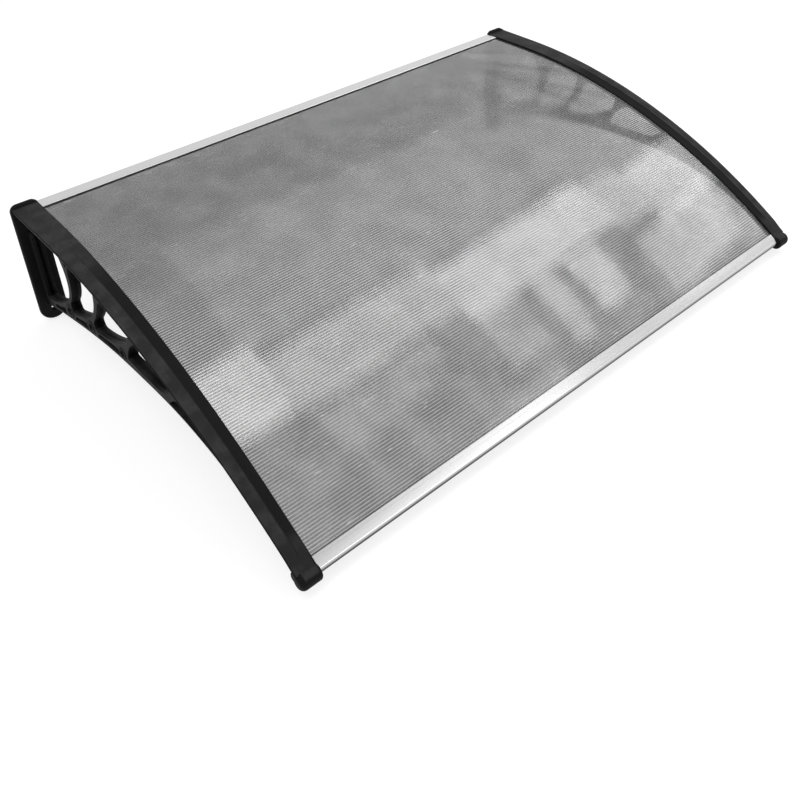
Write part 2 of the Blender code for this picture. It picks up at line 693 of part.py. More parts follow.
def profile(name, outline, metal, chamber=None):
    made = bmesh.new()
    half = CENTRE_X - POCKET_BACK - PROFILE_PLAY
    add_prism(made, outline, -half, half)
    body = new_object(name, made, metal)
    if chamber:
        hollow = bmesh.new()
        add_prism(hollow, chamber, -half - 0.01, half + 0.01)
        combine(body, "DIFFERENCE", helper(name + "_chamber", hollow))
    holes = bmesh.new()
    for hand in (-1, 1):
        for place, axis in screw_places(hand):
            radius = SCREW_SHANK / 2 + CLEARANCE
            add_turned(holes, [(0, 0), (0, radius), (SCREW_HOLE, radius), (SCREW_HOLE, 0)], place, axis, 16)
    combine(body, "DIFFERENCE", helper(name + "_holes", holes))
    return body


def gasket(rubber):
    """Flat strip between the sheet and the rear profile's plate, showing a little at its front."""
    made = bmesh.new()
    low = FLANGE
    high = FLANGE - GASKET_THICK
    front = REAR_START + REAR_COVER + GASKET_SHOWN
    half = CENTRE_X - RAIL_WIDTH_REAR / 2 - CLEARANCE
    add_prism(made, [(front - GASKET_WIDTH, -high), (front, -high), (front, -low), (front - GASKET_WIDTH, -low)], -half, half)
    return new_object("rear_gasket", made, rubber)


def screw_places(hand):
    """(head seat, axis) of the screws on one side: rear and front, each driven up through the ledge."""
    seat = FLANGE + SHEET_THICK + 2 * CLEARANCE + LEDGE
    places = []
    rear, front = REAR_START + REAR_LIP * REAR_SCREW_SHARE, front_edge() - FRONT_SCREW_BACK
    for d, inset in ((rear, REAR_SCREW_INSET), (front, FRONT_SCREW_INSET)):
        point_d, z = below_rail(d, seat)
        turn = slope_at(d)
        places.append(((hand * (CENTRE_X - inset), -point_d, z), (0, -sin(turn), cos(turn))))
    return places


def screws(steel):
    for hand, hand_name in ((-1, "left"), (1, "right")):
        for (place, axis), end in zip(screw_places(hand), ("rear", "front")):
            made = bmesh.new()
            head, shank = SCREW_HEAD / 2, SCREW_SHANK / 2
            low = -2 * CLEARANCE - SCREW_HEAD_HIGH
            add_turned(made, [(low, 0), (low, head * 0.45), (low + SCREW_HEAD_HIGH * 0.35, head * 0.85),
                              (low + SCREW_HEAD_HIGH, head), (-2 * CLEARANCE, head), (-2 * CLEARANCE + 1e-5, shank),
                              (LEDGE - SCREW_POINT, shank), (LEDGE, shank * 0.5), (LEDGE, 0)],
                       place, axis, 12)
            new_object(f"{end}_{hand_name}_screw", made, steel)


def main():
    for old in list(bpy.data.objects):
        bpy.data.objects.remove(old)
    plastic = material("black_plastic", (0.022, 0.022, 0.023), 0.42)
    polycarbonate = material("smoked_polycarbonate", (0.25, 0.25, 0.25), 0.3, transmission=0.6)
    aluminium = material("anodised_aluminium", (0.70, 0.70, 0.71), 0.32, 1.0)
    rubber = material("black_rubber", (0.015, 0.015, 0.015), 0.7)
    steel = material("zinc_steel", (0.55, 0.55, 0.56), 0.35, 1.0)
    bracket(-1, "left_bracket", plastic)
    bracket(1, "right_bracket", plastic)
    sheet(polycarbonate)
    profile("rear_profile", rear_outline(), aluminium)
    profile("front_profile", front_profile_outline(), aluminium, nose_chamber())
    gasket(rubber)
    screws(steel)


main()
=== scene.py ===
# %% [markdown]
# # A door canopy, dressed
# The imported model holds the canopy's solids: two black side brackets, a hollow smoke-grey sheet, two
# aluminium profiles, a rubber gasket and four screws. This script keeps their places and sizes, builds
# finer versions of the visible pieces around them, and gives every surface the finish of the real thing.

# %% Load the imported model
from math import atan2, cos, hypot, pi, radians, sin, sqrt

import bmesh
import bpy
from mathutils import Euler, Matrix, Vector


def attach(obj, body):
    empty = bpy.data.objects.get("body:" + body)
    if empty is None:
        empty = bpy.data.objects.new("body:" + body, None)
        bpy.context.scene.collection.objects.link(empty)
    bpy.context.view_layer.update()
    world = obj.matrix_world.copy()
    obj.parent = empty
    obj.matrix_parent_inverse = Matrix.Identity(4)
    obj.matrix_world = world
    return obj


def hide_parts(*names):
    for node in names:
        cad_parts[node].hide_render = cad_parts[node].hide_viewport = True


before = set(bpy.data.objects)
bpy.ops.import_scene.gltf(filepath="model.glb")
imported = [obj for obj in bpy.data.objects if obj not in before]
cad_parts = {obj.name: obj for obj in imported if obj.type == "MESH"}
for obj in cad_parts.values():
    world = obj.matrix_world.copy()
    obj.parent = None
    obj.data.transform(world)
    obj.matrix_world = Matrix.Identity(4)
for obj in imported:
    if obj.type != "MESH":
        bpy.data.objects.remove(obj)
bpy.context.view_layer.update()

print("nodes:", sorted(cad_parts))

# %% [markdown]
# ## Camera
# The picture was taken from above the left front corner, and the canopy sits in the upper part of the
# frame. A camera could be aimed at a target, but four corners and both rails of the real canopy fix its
# place and its lens well, so it gets a plain place, two angles, a small roll and a focal length. The shift
# lifts the canopy in the frame.

# %% Camera
LENS = 41.03             # millimetres, on Blender's 36 mm sensor
CAMERA_AT = (-0.9532, -1.4327, 0.7940)
CAMERA_DOWN = radians(34.25)
CAMERA_TURN = radians(-40.40)
CAMERA_ROLL = radians(1.50)
SHIFT = -0.1875          # of the sensor's width; below zero it lifts the canopy in the frame

lens = bpy.data.cameras.new("camera")
lens.lens = LENS
lens.shift_y = SHIFT
lens.clip_start = 0.01
camera = bpy.data.objects.new("camera", lens)
camera.location = CAMERA_AT
aimed = Euler((pi / 2 - CAMERA_DOWN, 0, CAMERA_TURN)).to_matrix() @ Matrix.Rotation(-CAMERA_ROLL, 3, "Z")
camera.rotation_euler = aimed.to_euler()
bpy.context.scene.collection.objects.link(camera)
bpy.context.scene.camera = camera
bpy.context.scene.view_settings.view_transform = "Standard"
print("camera looks down", round(CAMERA_DOWN * 180 / pi, 1), "degrees")

# %% [markdown]
# ## Small helpers
# Colours are written as people pick them, in sRGB hex, and Blender wants linear light. Nodes are added by
# one function that takes the node's own settings and what goes into its sockets: a number, a colour or
# another node.

# %% Colours and nodes
def colour(text):
    """Linear RGBA from an sRGB hex colour."""
    parts = [int(text[i:i + 2], 16) / 255 for i in (1, 3, 5)]
    return (*[c / 12.92 if c <= 0.04045 else ((c + 0.055) / 1.055) ** 2.4 for c in parts], 1.0)


def add_node(tree, kind, settings=None, inputs=None):
    """Adds a node with its settings; an input is a value, a socket, or a node whose first output is taken."""
    made = tree.nodes.new(kind)
    for name, value in (settings or {}).items():
        setattr(made, name, value)
    for name, value in (inputs or {}).items():
        if isinstance(value, bpy.types.Node):
            value = value.outputs[0]
        if isinstance(value, bpy.types.NodeSocket):
            tree.links.new(value, made.inputs[name])
        else:
            made.inputs[name].default_value = value
    return made


def new_material(name, base):
    """An empty node material with a Principled shader at its output."""
    made = bpy.data.materials.new(name)
    made.use_nodes = True
    made.node_tree.nodes.clear()
    made.diffuse_color = base
    shader = add_node(made.node_tree, "ShaderNodeBsdfPrincipled", inputs={"Base Color": base})
    add_node(made.node_tree, "ShaderNodeOutputMaterial", inputs={"Surface": shader})
    return made, made.node_tree, shader


print("white is", colour("#ffffff")[:3], "and middle grey", [round(c, 3) for c in colour("#808080")[:3]])

# %% [markdown]
# ## Black moulded plastic
# The brackets are moulded from polypropylene with glass fibre in it. The tool's face is fine-spark
# textured, so the plastic is satin, not glossy. Handling leaves cloudy pale marks on the broad tops of the
# rails, and the tops are also painted evenly paler as painted light from above, while the web and the sides
# stay deep black. The lip at the wall and the hollow in front of it are kept dark as painted shade. A flat
# black would hide all that, so the colour, the roughness and a shallow bump each get their own pattern, and
# a mask of where a face points holds the marks and the painted light to the rails.

# %% Glass-filled polypropylene, moulded
GRAIN = 0.0014           # the real grain is 0.2 mm, too fine for the picture, so it is drawn at 1.4 mm
MOTTLE = 0.030           # flow marks of a few centimetres
RUB_LONG, RUB_WIDE = 0.045, 0.0035
LIP_THICK = 0.0105       # painted shade: the wall plate's lip is kept dark
LIP_FADE = 0.0040        # the pale tops set in over this much of the rail in front of it, so the hollow there keeps painted shade
PAINTED_TOP_LIGHT, CLOUD_MORE, RUB_MORE = 0.24, 0.26, 0.42     # how much painted light on the tops, clouds and rubs pale them

plastic, tree, shader = new_material("moulded_polypropylene", colour("#1a1a1b"))
shader.inputs["Specular IOR Level"].default_value = 0.10
where = add_node(tree, "ShaderNodeTexCoord")
place = where.outputs["Object"]
mottle = add_node(tree, "ShaderNodeTexNoise", inputs={"Vector": place, "Scale": 1 / MOTTLE, "Detail": 3.0})
stretch = add_node(tree, "ShaderNodeMapping",
                   inputs={"Vector": place, "Scale": (1 / RUB_WIDE, 1 / RUB_LONG, 1 / RUB_LONG)})
rubs = add_node(tree, "ShaderNodeTexNoise",
                inputs={"Vector": stretch, "Scale": 1.0, "Detail": 4.0, "Roughness": 0.65})
rub_mask = add_node(tree, "ShaderNodeMapRange", {"interpolation_type": "SMOOTHSTEP"},
                    {"Value": rubs.outputs[0], "From Min": 0.56, "From Max": 0.74})
patches = add_node(tree, "ShaderNodeMapRange", {"interpolation_type": "SMOOTHSTEP"},
                   {"Value": mottle.outputs[0], "From Min": 0.36, "From Max": 0.68})
rubbed = add_node(tree, "ShaderNodeMath", {"operation": "MULTIPLY"}, {0: rub_mask, 1: patches})
# painted light: a fixed share pales every broad top evenly, and the patches add cloudy handling marks
clouds_and_top_light = add_node(tree, "ShaderNodeMath", {"operation": "MULTIPLY_ADD"},
                   {0: patches, 1: CLOUD_MORE, 2: PAINTED_TOP_LIGHT})
marks_and_top_light = add_node(tree, "ShaderNodeMath", {"operation": "MULTIPLY_ADD"},
                  {0: rubbed, 1: RUB_MORE, 2: clouds_and_top_light})
facing = add_node(tree, "ShaderNodeSeparateXYZ", inputs={0: where.outputs["Normal"]})
leaning = add_node(tree, "ShaderNodeMath", {"operation": "ABSOLUTE"}, {0: facing.outputs[0]})
level = add_node(tree, "ShaderNodeMapRange", inputs={"Value": leaning, "From Min": 0.02, "From Max": 0.07,
                                                     "To Min": 1.0, "To Max": 0.0})
upward = add_node(tree, "ShaderNodeMapRange",
                  inputs={"Value": facing.outputs[2], "From Min": 0.6, "From Max": 0.8})
broad = add_node(tree, "ShaderNodeMath", {"operation": "MULTIPLY"}, {0: level, 1: upward})
apart = add_node(tree, "ShaderNodeSeparateXYZ", inputs={0: place})
# painted shade: the lip and the hollow in front of it get no paling, so they stay dark
past_shaded_lip = add_node(tree, "ShaderNodeMapRange",
                   inputs={"Value": apart.outputs[1], "From Min": -LIP_THICK,
                           "From Max": -LIP_THICK - LIP_FADE})
# the pale tops are partly handling marks and partly painted light from above
handled_and_lit = add_node(tree, "ShaderNodeMath", {"operation": "MULTIPLY"}, {0: broad, 1: past_shaded_lip})
worn_and_lit = add_node(tree, "ShaderNodeMath", {"operation": "MULTIPLY"}, {0: marks_and_top_light, 1: handled_and_lit})
cloud = add_node(tree, "ShaderNodeMapRange",
                 inputs={"Value": mottle.outputs[0], "From Min": 0.35, "From Max": 0.65})
tone = add_node(tree, "ShaderNodeMix", {"data_type": "RGBA"},
                {"Factor": cloud, 6: colour("#0d0d0d"), 7: colour("#141414")})
face = add_node(tree, "ShaderNodeMix", {"data_type": "RGBA"},
                {"Factor": worn_and_lit, 6: tone.outputs[2], 7: colour("#464646")})
tree.links.new(face.outputs[2], shader.inputs["Base Color"])
gloss = add_node(tree, "ShaderNodeMapRange",
                 inputs={"Value": mottle.outputs[0], "From Min": 0.3, "From Max": 0.7,
                         "To Min": 0.54, "To Max": 0.66})
tree.links.new(gloss.outputs[0], shader.inputs["Roughness"])
grain = add_node(tree, "ShaderNodeTexNoise", inputs={"Vector": place, "Scale": 1 / GRAIN, "Detail": 2.0})
bump = add_node(tree, "ShaderNodeBump",
                inputs={"Height": grain.outputs[0], "Strength": 0.25, "Distance": 0.0003})
tree.links.new(bump.outputs[0], shader.inputs["Normal"])
print("plastic:", len(tree.nodes), "nodes")

# %% [markdown]
# ## Smoke-grey polycarbonate
# The sheet is extruded twin-wall polycarbonate: two clear tinted skins half a millimetre thick, with a rib
# between them every few millimetres. It is a clear plastic, so it needs real transmission, and what lies
# below shows through it dimmed and soft. The ribs stop more light than the cells do, so a wave along the
# curve darkens the tint over each rib, a little more in some places than in others. Handling leaves short
# hazy scratches along the ribs, and most of them lie near the wall and in a narrow band a third of the way
# out.

# %% Sizes of the sheet's curve and cells
WIDTH, REACH, TIP_DROP, FLAT_LENGTH = 1.200, 0.800, 0.203, 0.105
KNOB_RADIUS, KNOB_SINK = 0.013, 0.0122
TIP_D = REACH - KNOB_RADIUS
ARC_RADIUS = ((TIP_D - FLAT_LENGTH) ** 2 + TIP_DROP ** 2) / (2 * TIP_DROP)
SHEET_REAR, CELL_PITCH = 0.0080, 0.00465
print("flat for", round(1000 * FLAT_LENGTH), "mm, then an arc; cells of", round(1000 * CELL_PITCH, 2), "mm")

# %% Twin-wall polycarbonate, extruded
BLOTCH = 0.060           # the ribs show more strongly in some places than in others
SCRATCH_LONG, SCRATCH_WIDE = 0.025, 0.0024   # real ones are hair-thin; drawn at 2.4 mm so that they show
SCUFF_FROM, SCUFF_TO = 0.100, 0.035          # distances along the curve between which they grow likelier
BAND_AT, BAND_HALF = 0.275, 0.008            # a narrow band with more of them
LIKELIER = 0.05
smoke, tree, shader = new_material("smoked_polycarbonate", colour("#d0d0d0"))
shader.inputs["IOR"].default_value = 1.585
shader.inputs["Roughness"].default_value = 0.06
where = add_node(tree, "ShaderNodeTexCoord")
place = where.outputs["Object"]
apart = add_node(tree, "ShaderNodeSeparateXYZ", inputs={0: place})
outward = add_node(tree, "ShaderNodeMath", {"operation": "MULTIPLY"}, {0: apart.outputs[1], 1: -1.0})
flat = add_node(tree, "ShaderNodeMath", {"operation": "MINIMUM"}, {0: outward, 1: FLAT_LENGTH})
past = add_node(tree, "ShaderNodeMath", {"operation": "SUBTRACT"}, {0: outward, 1: flat})
share = add_node(tree, "ShaderNodeMath", {"operation": "DIVIDE"}, {0: past, 1: ARC_RADIUS})
turned = add_node(tree, "ShaderNodeMath", {"operation": "ARCSINE"}, {0: share})
length = add_node(tree, "ShaderNodeMath", {"operation": "MULTIPLY_ADD"}, {0: turned, 1: ARC_RADIUS, 2: flat})
phase = add_node(tree, "ShaderNodeMath", {"operation": "MULTIPLY_ADD"},
                 {0: length, 1: 2 * pi / CELL_PITCH, 2: -2 * pi * SHEET_REAR / CELL_PITCH})
wave = add_node(tree, "ShaderNodeMath", {"operation": "COSINE"}, {0: phase})
over_rib = add_node(tree, "ShaderNodeMapRange", inputs={"Value": wave, "From Min": -1.0})
blotch = add_node(tree, "ShaderNodeTexNoise", inputs={"Vector": place, "Scale": 1 / BLOTCH, "Detail": 3.0})
unlike = add_node(tree, "ShaderNodeMapRange",
                  inputs={"Value": blotch.outputs[0], "From Min": 0.35, "From Max": 0.65,
                          "To Min": 0.65, "To Max": 1.0})
lined = add_node(tree, "ShaderNodeMath", {"operation": "MULTIPLY"}, {0: over_rib, 1: unlike})
tint = add_node(tree, "ShaderNodeMix", {"data_type": "RGBA"},
                {"Factor": lined, 6: colour("#e6e6e6"), 7: colour("#989898")})
streak = (1 / SCRATCH_LONG, 1 / SCRATCH_WIDE, 1 / SCRATCH_WIDE)
streaked = add_node(tree, "ShaderNodeMapping", inputs={"Vector": place, "Scale": streak})
scratches = add_node(tree, "ShaderNodeTexNoise", inputs={"Vector": streaked, "Scale": 1.0, "Detail": 2.0})
rear = add_node(tree, "ShaderNodeMapRange",
                inputs={"Value": length, "From Min": SCUFF_FROM, "From Max": SCUFF_TO, "To Max": LIKELIER})
band = add_node(tree, "ShaderNodeMath", {"operation": "COMPARE"}, {0: length, 1: BAND_AT, 2: BAND_HALF})
marked = add_node(tree, "ShaderNodeMath", {"operation": "MULTIPLY_ADD"}, {0: band, 1: LIKELIER, 2: rear})
likely = add_node(tree, "ShaderNodeMath", {"operation": "ADD"}, {0: scratches, 1: marked})
scratched = add_node(tree, "ShaderNodeMapRange", {"interpolation_type": "SMOOTHSTEP"},
                     {"Value": likely, "From Min": 0.66, "From Max": 0.76})
skin = add_node(tree, "ShaderNodeMix", {"data_type": "RGBA"},
                {"Factor": scratched, 6: tint.outputs[2], 7: colour("#ffffff")})
tree.links.new(skin.outputs[2], shader.inputs["Base Color"])
hazy = add_node(tree, "ShaderNodeMapRange", inputs={"Value": scratched, "To Min": 0.94, "To Max": 0.84})
tree.links.new(hazy.outputs[0], shader.inputs["Transmission Weight"])
print("polycarbonate:", len(tree.nodes), "nodes")

# %% [markdown]
# ## Anodised aluminium
# Both profiles are extruded and satin anodised: pale, even and softly shiny, with faint lines along their
# length from the die. The lines are a noise stretched along the profile, and they change the roughness
# more than the shape. The colour also holds painted light: a painted highlight along the crease where the
# front profile's top turns into its nose, and painted shade that takes the nose down to a dark grey the
# more a face points down.

# %% Anodised aluminium, extruded
DIE_LINE = 0.0012        # real die lines are 0.1 mm apart; drawn at 1.2 mm so that they show
DIE_LONG = 1 / 3         # each runs on for about a third of a metre
STEEP_FROM, STEEP_TO = 0.80, 0.10        # painted shade: how far a face points up where it starts to darken, and where it is dark
CREASE_UP, CREASE_HALF = 0.79, 0.035     # painted highlight: how far a face points up along the crease, more or less
aluminium, tree, shader = new_material("anodised_aluminium", colour("#e7e7e7"))
shader.inputs["Metallic"].default_value = 1.0
where = add_node(tree, "ShaderNodeTexCoord")
facing = add_node(tree, "ShaderNodeSeparateXYZ", inputs={0: where.outputs["Normal"]})
# painted shade: the nose darkens as its faces turn down
painted_shade = add_node(tree, "ShaderNodeMapRange", {"interpolation_type": "SMOOTHSTEP"},
                  {"Value": facing.outputs[2], "From Min": STEEP_FROM, "From Max": STEEP_TO})
# painted highlight: a near-white line where the top plate turns into the nose
painted_highlight = add_node(tree, "ShaderNodeMath", {"operation": "COMPARE"},
                  {0: facing.outputs[2], 1: CREASE_UP, 2: CREASE_HALF})
highlighted = add_node(tree, "ShaderNodeMix", {"data_type": "RGBA"},
                  {"Factor": painted_highlight, 6: colour("#e7e7e7"), 7: colour("#ffffff")})
metal = add_node(tree, "ShaderNodeMix", {"data_type": "RGBA"},
                 {"Factor": painted_shade, 6: highlighted.outputs[2], 7: colour("#444445")})
tree.links.new(metal.outputs[2], shader.inputs["Base Color"])
lines_at = add_node(tree, "ShaderNodeMapping",
                    inputs={"Vector": where.outputs["Object"],
                            "Scale": (1 / DIE_LONG, 1 / DIE_LINE, 1 / DIE_LINE)})
lines = add_node(tree, "ShaderNodeTexNoise", inputs={"Vector": lines_at, "Scale": 1.0, "Detail": 2.0})
satin = add_node(tree, "ShaderNodeMapRange",
                 inputs={"Value": lines.outputs[0], "From Min": 0.3, "From Max": 0.7,
                         "To Min": 0.18, "To Max": 0.27})
tree.links.new(satin.outputs[0], shader.inputs["Roughness"])
bump = add_node(tree, "ShaderNodeBump",
                inputs={"Height": lines.outputs[0], "Strength": 0.12, "Distance": 0.0002})
tree.links.new(bump.outputs[0], shader.inputs["Normal"])
print("aluminium:", len(tree.nodes), "nodes")

# %% [markdown]
# ## Rubber and steel
# The gasket is black EPDM rubber, matt and slightly dusty. The screws are zinc-plated steel, which is a
# cool grey metal with uneven gloss. Both show only as thin lines and dots, so one noise each is enough.

# %% EPDM rubber and zinc-plated steel
DUST = 0.00625           # dust settles in patches of about 6 mm
PLATING = 1 / 600        # the plating's gloss changes every 1.7 mm
rubber, tree, shader = new_material("epdm_rubber", colour("#1b1b1b"))
where = add_node(tree, "ShaderNodeTexCoord")
dust = add_node(tree, "ShaderNodeTexNoise",
                inputs={"Vector": where.outputs["Object"], "Scale": 1 / DUST, "Detail": 4.0})
settled = add_node(tree, "ShaderNodeMapRange",
                   inputs={"Value": dust.outputs[0], "From Min": 0.4, "From Max": 0.75})
dusty = add_node(tree, "ShaderNodeMix", {"data_type": "RGBA"},
                 {"Factor": settled, 6: colour("#181818"), 7: colour("#343433")})
tree.links.new(dusty.outputs[2], shader.inputs["Base Color"])
shader.inputs["Roughness"].default_value = 0.75

steel, tree, shader = new_material("zinc_plated_steel", colour("#b9bcc0"))
shader.inputs["Metallic"].default_value = 1.0
where = add_node(tree, "ShaderNodeTexCoord")
plating = add_node(tree, "ShaderNodeTexNoise",
                   inputs={"Vector": where.outputs["Object"], "Scale": 1 / PLATING, "Detail": 3.0})
uneven = add_node(tree, "ShaderNodeMapRange",
                  inputs={"Value": plating.outputs[0], "From Min": 0.3, "From Max": 0.7,
                          "To Min": 0.25, "To Max": 0.45})
tree.links.new(uneven.outputs[0], shader.inputs["Roughness"])
print("rubber and steel made")

# %% [markdown]
# ## The rail's curve
# Everything on the canopy follows one curve: flat for the first 105 mm from the wall, then an arc of a
# circle down to the knobs. The same few numbers as in the model's source give it, so each new piece lands
# on its solid.

# %% Sizes of the curve
PLATE_WIDTH, PLATE_THICK, PLATE_LIP = 0.050, 0.0105, 0.0050
CENTRE_X = WIDTH / 2 - PLATE_WIDTH / 2


def rail_top(d):
    """Height of the rail's top at a distance from the wall."""
    past = max(0.0, d - FLAT_LENGTH)
    return sqrt(ARC_RADIUS ** 2 - past ** 2) - ARC_RADIUS


def slope_at(d):
    """How steeply the curve falls at a distance from the wall."""
    past = max(0.0, d - FLAT_LENGTH)
    return atan2(past, sqrt(ARC_RADIUS ** 2 - past ** 2))


def below_rail(d, depth):
    """The side-view point this deep under the rail's top, square to its curve."""
    angle = slope_at(d)
    return d - depth * sin(angle), rail_top(d) - depth * cos(angle)


def along_rail(length):
    """The distance from the wall at a length along the curve."""
    if length <= FLAT_LENGTH:
        return length
    return FLAT_LENGTH + ARC_RADIUS * sin((length - FLAT_LENGTH) / ARC_RADIUS)


def length_to(d):
    """The length along the curve up to a distance from the wall."""
    return min(d, FLAT_LENGTH) + ARC_RADIUS * slope_at(d)


print("arc radius", round(1000 * ARC_RADIUS), "mm, curve length", round(1000 * length_to(TIP_D)), "mm")

# %% [markdown]
# ## From points to pieces
# A piece is filled as a bmesh and then becomes an object that rides on the canopy's one body. Faces that
# meet at a small angle are shaded smooth, and the wide faces keep their own direction, so an eased edge
# looks round.

# %% Mesh helpers
def finish_piece(name, mesh_source, material, replaced, smooth_to=radians(32)):
    """The bmesh becomes a shown piece with its material, and stands for a node of the model."""
    bmesh.ops.recalc_face_normals(mesh_source, faces=mesh_source.faces)
    mesh = bpy.data.meshes.new(name)
    mesh_source.to_mesh(mesh)
    mesh_source.free()
    mesh.shade_smooth()
    mesh.set_sharp_from_angle(angle=smooth_to)
    mesh.materials.append(material)
    made = bpy.data.objects.new(name, mesh)
    bpy.context.scene.collection.objects.link(made)
    weighted = made.modifiers.new("weighted", "WEIGHTED_NORMAL")
    weighted.keep_sharp = True
    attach(made, "root")
    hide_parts(replaced)
    print(name, len(mesh.polygons), "faces")


def add_tube(target, rings):
    """Joins rings of points into a closed body with flat ends."""
    made = [[target.verts.new(point) for point in ring] for ring in rings]
    count = len(made[0])
    for near, far in zip(made, made[1:]):
        for i in range(count):
            j = (i + 1) % count
            target.faces.new((near[i], near[j], far[j], far[i]))
    target.faces.new(made[0][::-1])
    target.faces.new(made[-1])


def side_ring(outline, x):
    """A side-view outline of (d, z) points placed at this X."""
    return [(x, -d, z) for d, z in outline]


def arc(centre, radius, start, end, steps):
    """Points on a circle between two angles in degrees, both ends included."""
    turns = [radians(start + (end - start) * i / steps) for i in range(steps + 1)]
    return [(centre[0] + radius * cos(a), centre[1] + radius * sin(a)) for a in turns]


print("a quarter circle in three steps:", [(round(x, 2), round(y, 2)) for x, y in arc((0, 0), 1, 0, 90, 3)])

# %% [markdown]
# ## The sheet
# Real twin-wall sheet isn't quite flat: each skin sinks a hair over every rib as it cools, and that makes
# the fine lines that catch the light. A bump texture could fake the lines, but light also passes through,
# so the skins, the ribs and the cells between them are all modelled. Each cell is one slice of a long
# comb.

# %% Sheet
SHEET_THICK, SHEET_SKIN, SHEET_RIB = 0.0050, 0.0005, 0.0006
FLANGE, CLEARANCE, SHEET_PLAY = 0.0036, 0.0003, 0.0020
PROFILE_WALL, FRONT_NOSE, NOSE_BACK = 0.0012, 0.0065, 0.0008
SKIN_SINK = 0.00003      # how far a skin sinks over a rib
CELL_STEPS = 8
FRONT_EDGE = REACH - NOSE_BACK - FRONT_NOSE - PROFILE_WALL


def sheet_mesh():
    """Both skins, the ribs between them and the open ends of the cells."""
    made = bmesh.new()
    top = FLANGE + CLEARANCE
    bottom = top + SHEET_THICK
    first, last = length_to(SHEET_REAR), length_to(FRONT_EDGE - PROFILE_WALL - CLEARANCE)
    cells = round((last - first) / CELL_PITCH)
    pitch = (last - first) / cells
    half = CENTRE_X - SHEET_PLAY

    def pair(length, depth):
        d, z = below_rail(along_rail(length), depth)
        return [made.verts.new((x, -d, z)) for x in (-half, half)]

    def sink(k):
        return SKIN_SINK * (1 + cos(2 * pi * k / CELL_STEPS)) / 2

    count = cells * CELL_STEPS
    upper = [pair(first + pitch * k / CELL_STEPS, top + sink(k)) for k in range(count + 1)]
    lower = [pair(first + pitch * k / CELL_STEPS, bottom - sink(k)) for k in range(count + 1)]
    for line in (upper, lower):
        for a, b in zip(line, line[1:]):
            made.faces.new((a[0], b[0], b[1], a[1]))
    for a, b in ((upper[0], lower[0]), (upper[-1], lower[-1])):
        made.faces.new((a[0], b[0], b[1], a[1]))
    for c in range(cells):
        start, end = first + pitch * c + SHEET_RIB / 2, first + pitch * (c + 1) - SHEET_RIB / 2
        spots = [start + (end - start) * k / CELL_STEPS for k in range(CELL_STEPS + 1)]
        roof = [pair(s, top + SHEET_SKIN) for s in spots]
        ground = [pair(s, bottom - SHEET_SKIN) for s in spots]
        loop = roof + ground[::-1]
        for k in range(len(loop)):
            a, b = loop[k], loop[(k + 1) % len(loop)]
            made.faces.new((a[0], b[0], b[1], a[1]))
        for e in (0, 1):
            for outer, inner in ((upper, roof), (lower, ground)):
                for k in range(CELL_STEPS):
                    at = c * CELL_STEPS + k
                    made.faces.new((outer[at][e], outer[at + 1][e], inner[k + 1][e], inner[k][e]))
            for at, k in ((c * CELL_STEPS, 0), ((c + 1) * CELL_STEPS, CELL_STEPS)):
                made.faces.new((upper[at][e], roof[k][e], ground[k][e], lower[at][e]))
    print("cells:", cells, "at", round(1000 * pitch, 2), "mm")
    return made


finish_piece("twin_wall_sheet", sheet_mesh(), smoke, "canopy_sheet", radians(20))

# %% [markdown]
# ## The profiles
# The rear profile is a channel with a leg down the wall, and the front one ends in a round nose that
# reaches into the knobs. An extrusion is one section drawn out along a line, so each is a closed outline
# joined across the width, with the nose as a true half circle.

# %% Front profile
FRONT_COVER, FRONT_LIP, NOSE_STEPS = 0.0145, 0.0168, 28
LEAD_SHARE, LEAD_BACK = 0.4, 0.0005      # bevel at the rear edge of its top plate
POCKET_BACK, PROFILE_PLAY = 0.0007, 0.0010
PROFILE_HALF = CENTRE_X - POCKET_BACK - PROFILE_PLAY
SHELF = FLANGE + SHEET_THICK + 2 * CLEARANCE
PLATE_TOP = FLANGE - PROFILE_WALL


def nose_point(angle, radius):
    """A point round the nose, in the frame of the rail at the nose's middle."""
    d, z = below_rail(FRONT_EDGE, PLATE_TOP + FRONT_NOSE)
    turn = slope_at(FRONT_EDGE)
    forward, up = radius * cos(angle), radius * sin(angle)
    return d + forward * cos(turn) + up * sin(turn), z - forward * sin(turn) + up * cos(turn)


def front_outline():
    """The front profile's section: the top plate, the nose and the lip under the sheet."""
    w, start = PROFILE_WALL, FRONT_EDGE - FRONT_COVER
    spots = [start + FRONT_COVER * i / 3 for i in range(4)]
    inner = FRONT_EDGE - w
    lead = [below_rail(start, PLATE_TOP + w), below_rail(start, PLATE_TOP + LEAD_SHARE * w),
            below_rail(start + LEAD_BACK, PLATE_TOP)]
    above = [below_rail(d, PLATE_TOP) for d in spots[1:-1]]
    nose = [nose_point(pi / 2 - pi * i / NOSE_STEPS, FRONT_NOSE) for i in range(NOSE_STEPS + 1)]
    foot = [below_rail(inner, PLATE_TOP + 2 * FRONT_NOSE), below_rail(inner, SHELF + w)]
    lip = FRONT_EDGE - FRONT_LIP
    lips = [below_rail(lip, SHELF + w), below_rail(lip, SHELF), below_rail(inner, SHELF)]
    return lead + above + nose + foot + lips + [below_rail(inner, PLATE_TOP + w)]


made = bmesh.new()
add_tube(made, [side_ring(front_outline(), x) for x in (-PROFILE_HALF, PROFILE_HALF)])
finish_piece("front_edge_profile", made, aluminium, "front_profile")

# %% Rear profile
REAR_COVER, REAR_LIP, REAR_START, REAR_HEIGHT = 0.0270, 0.0220, 0.0045, 0.0110
GASKET_THICK, REAR_EASE = 0.0008, 0.0004


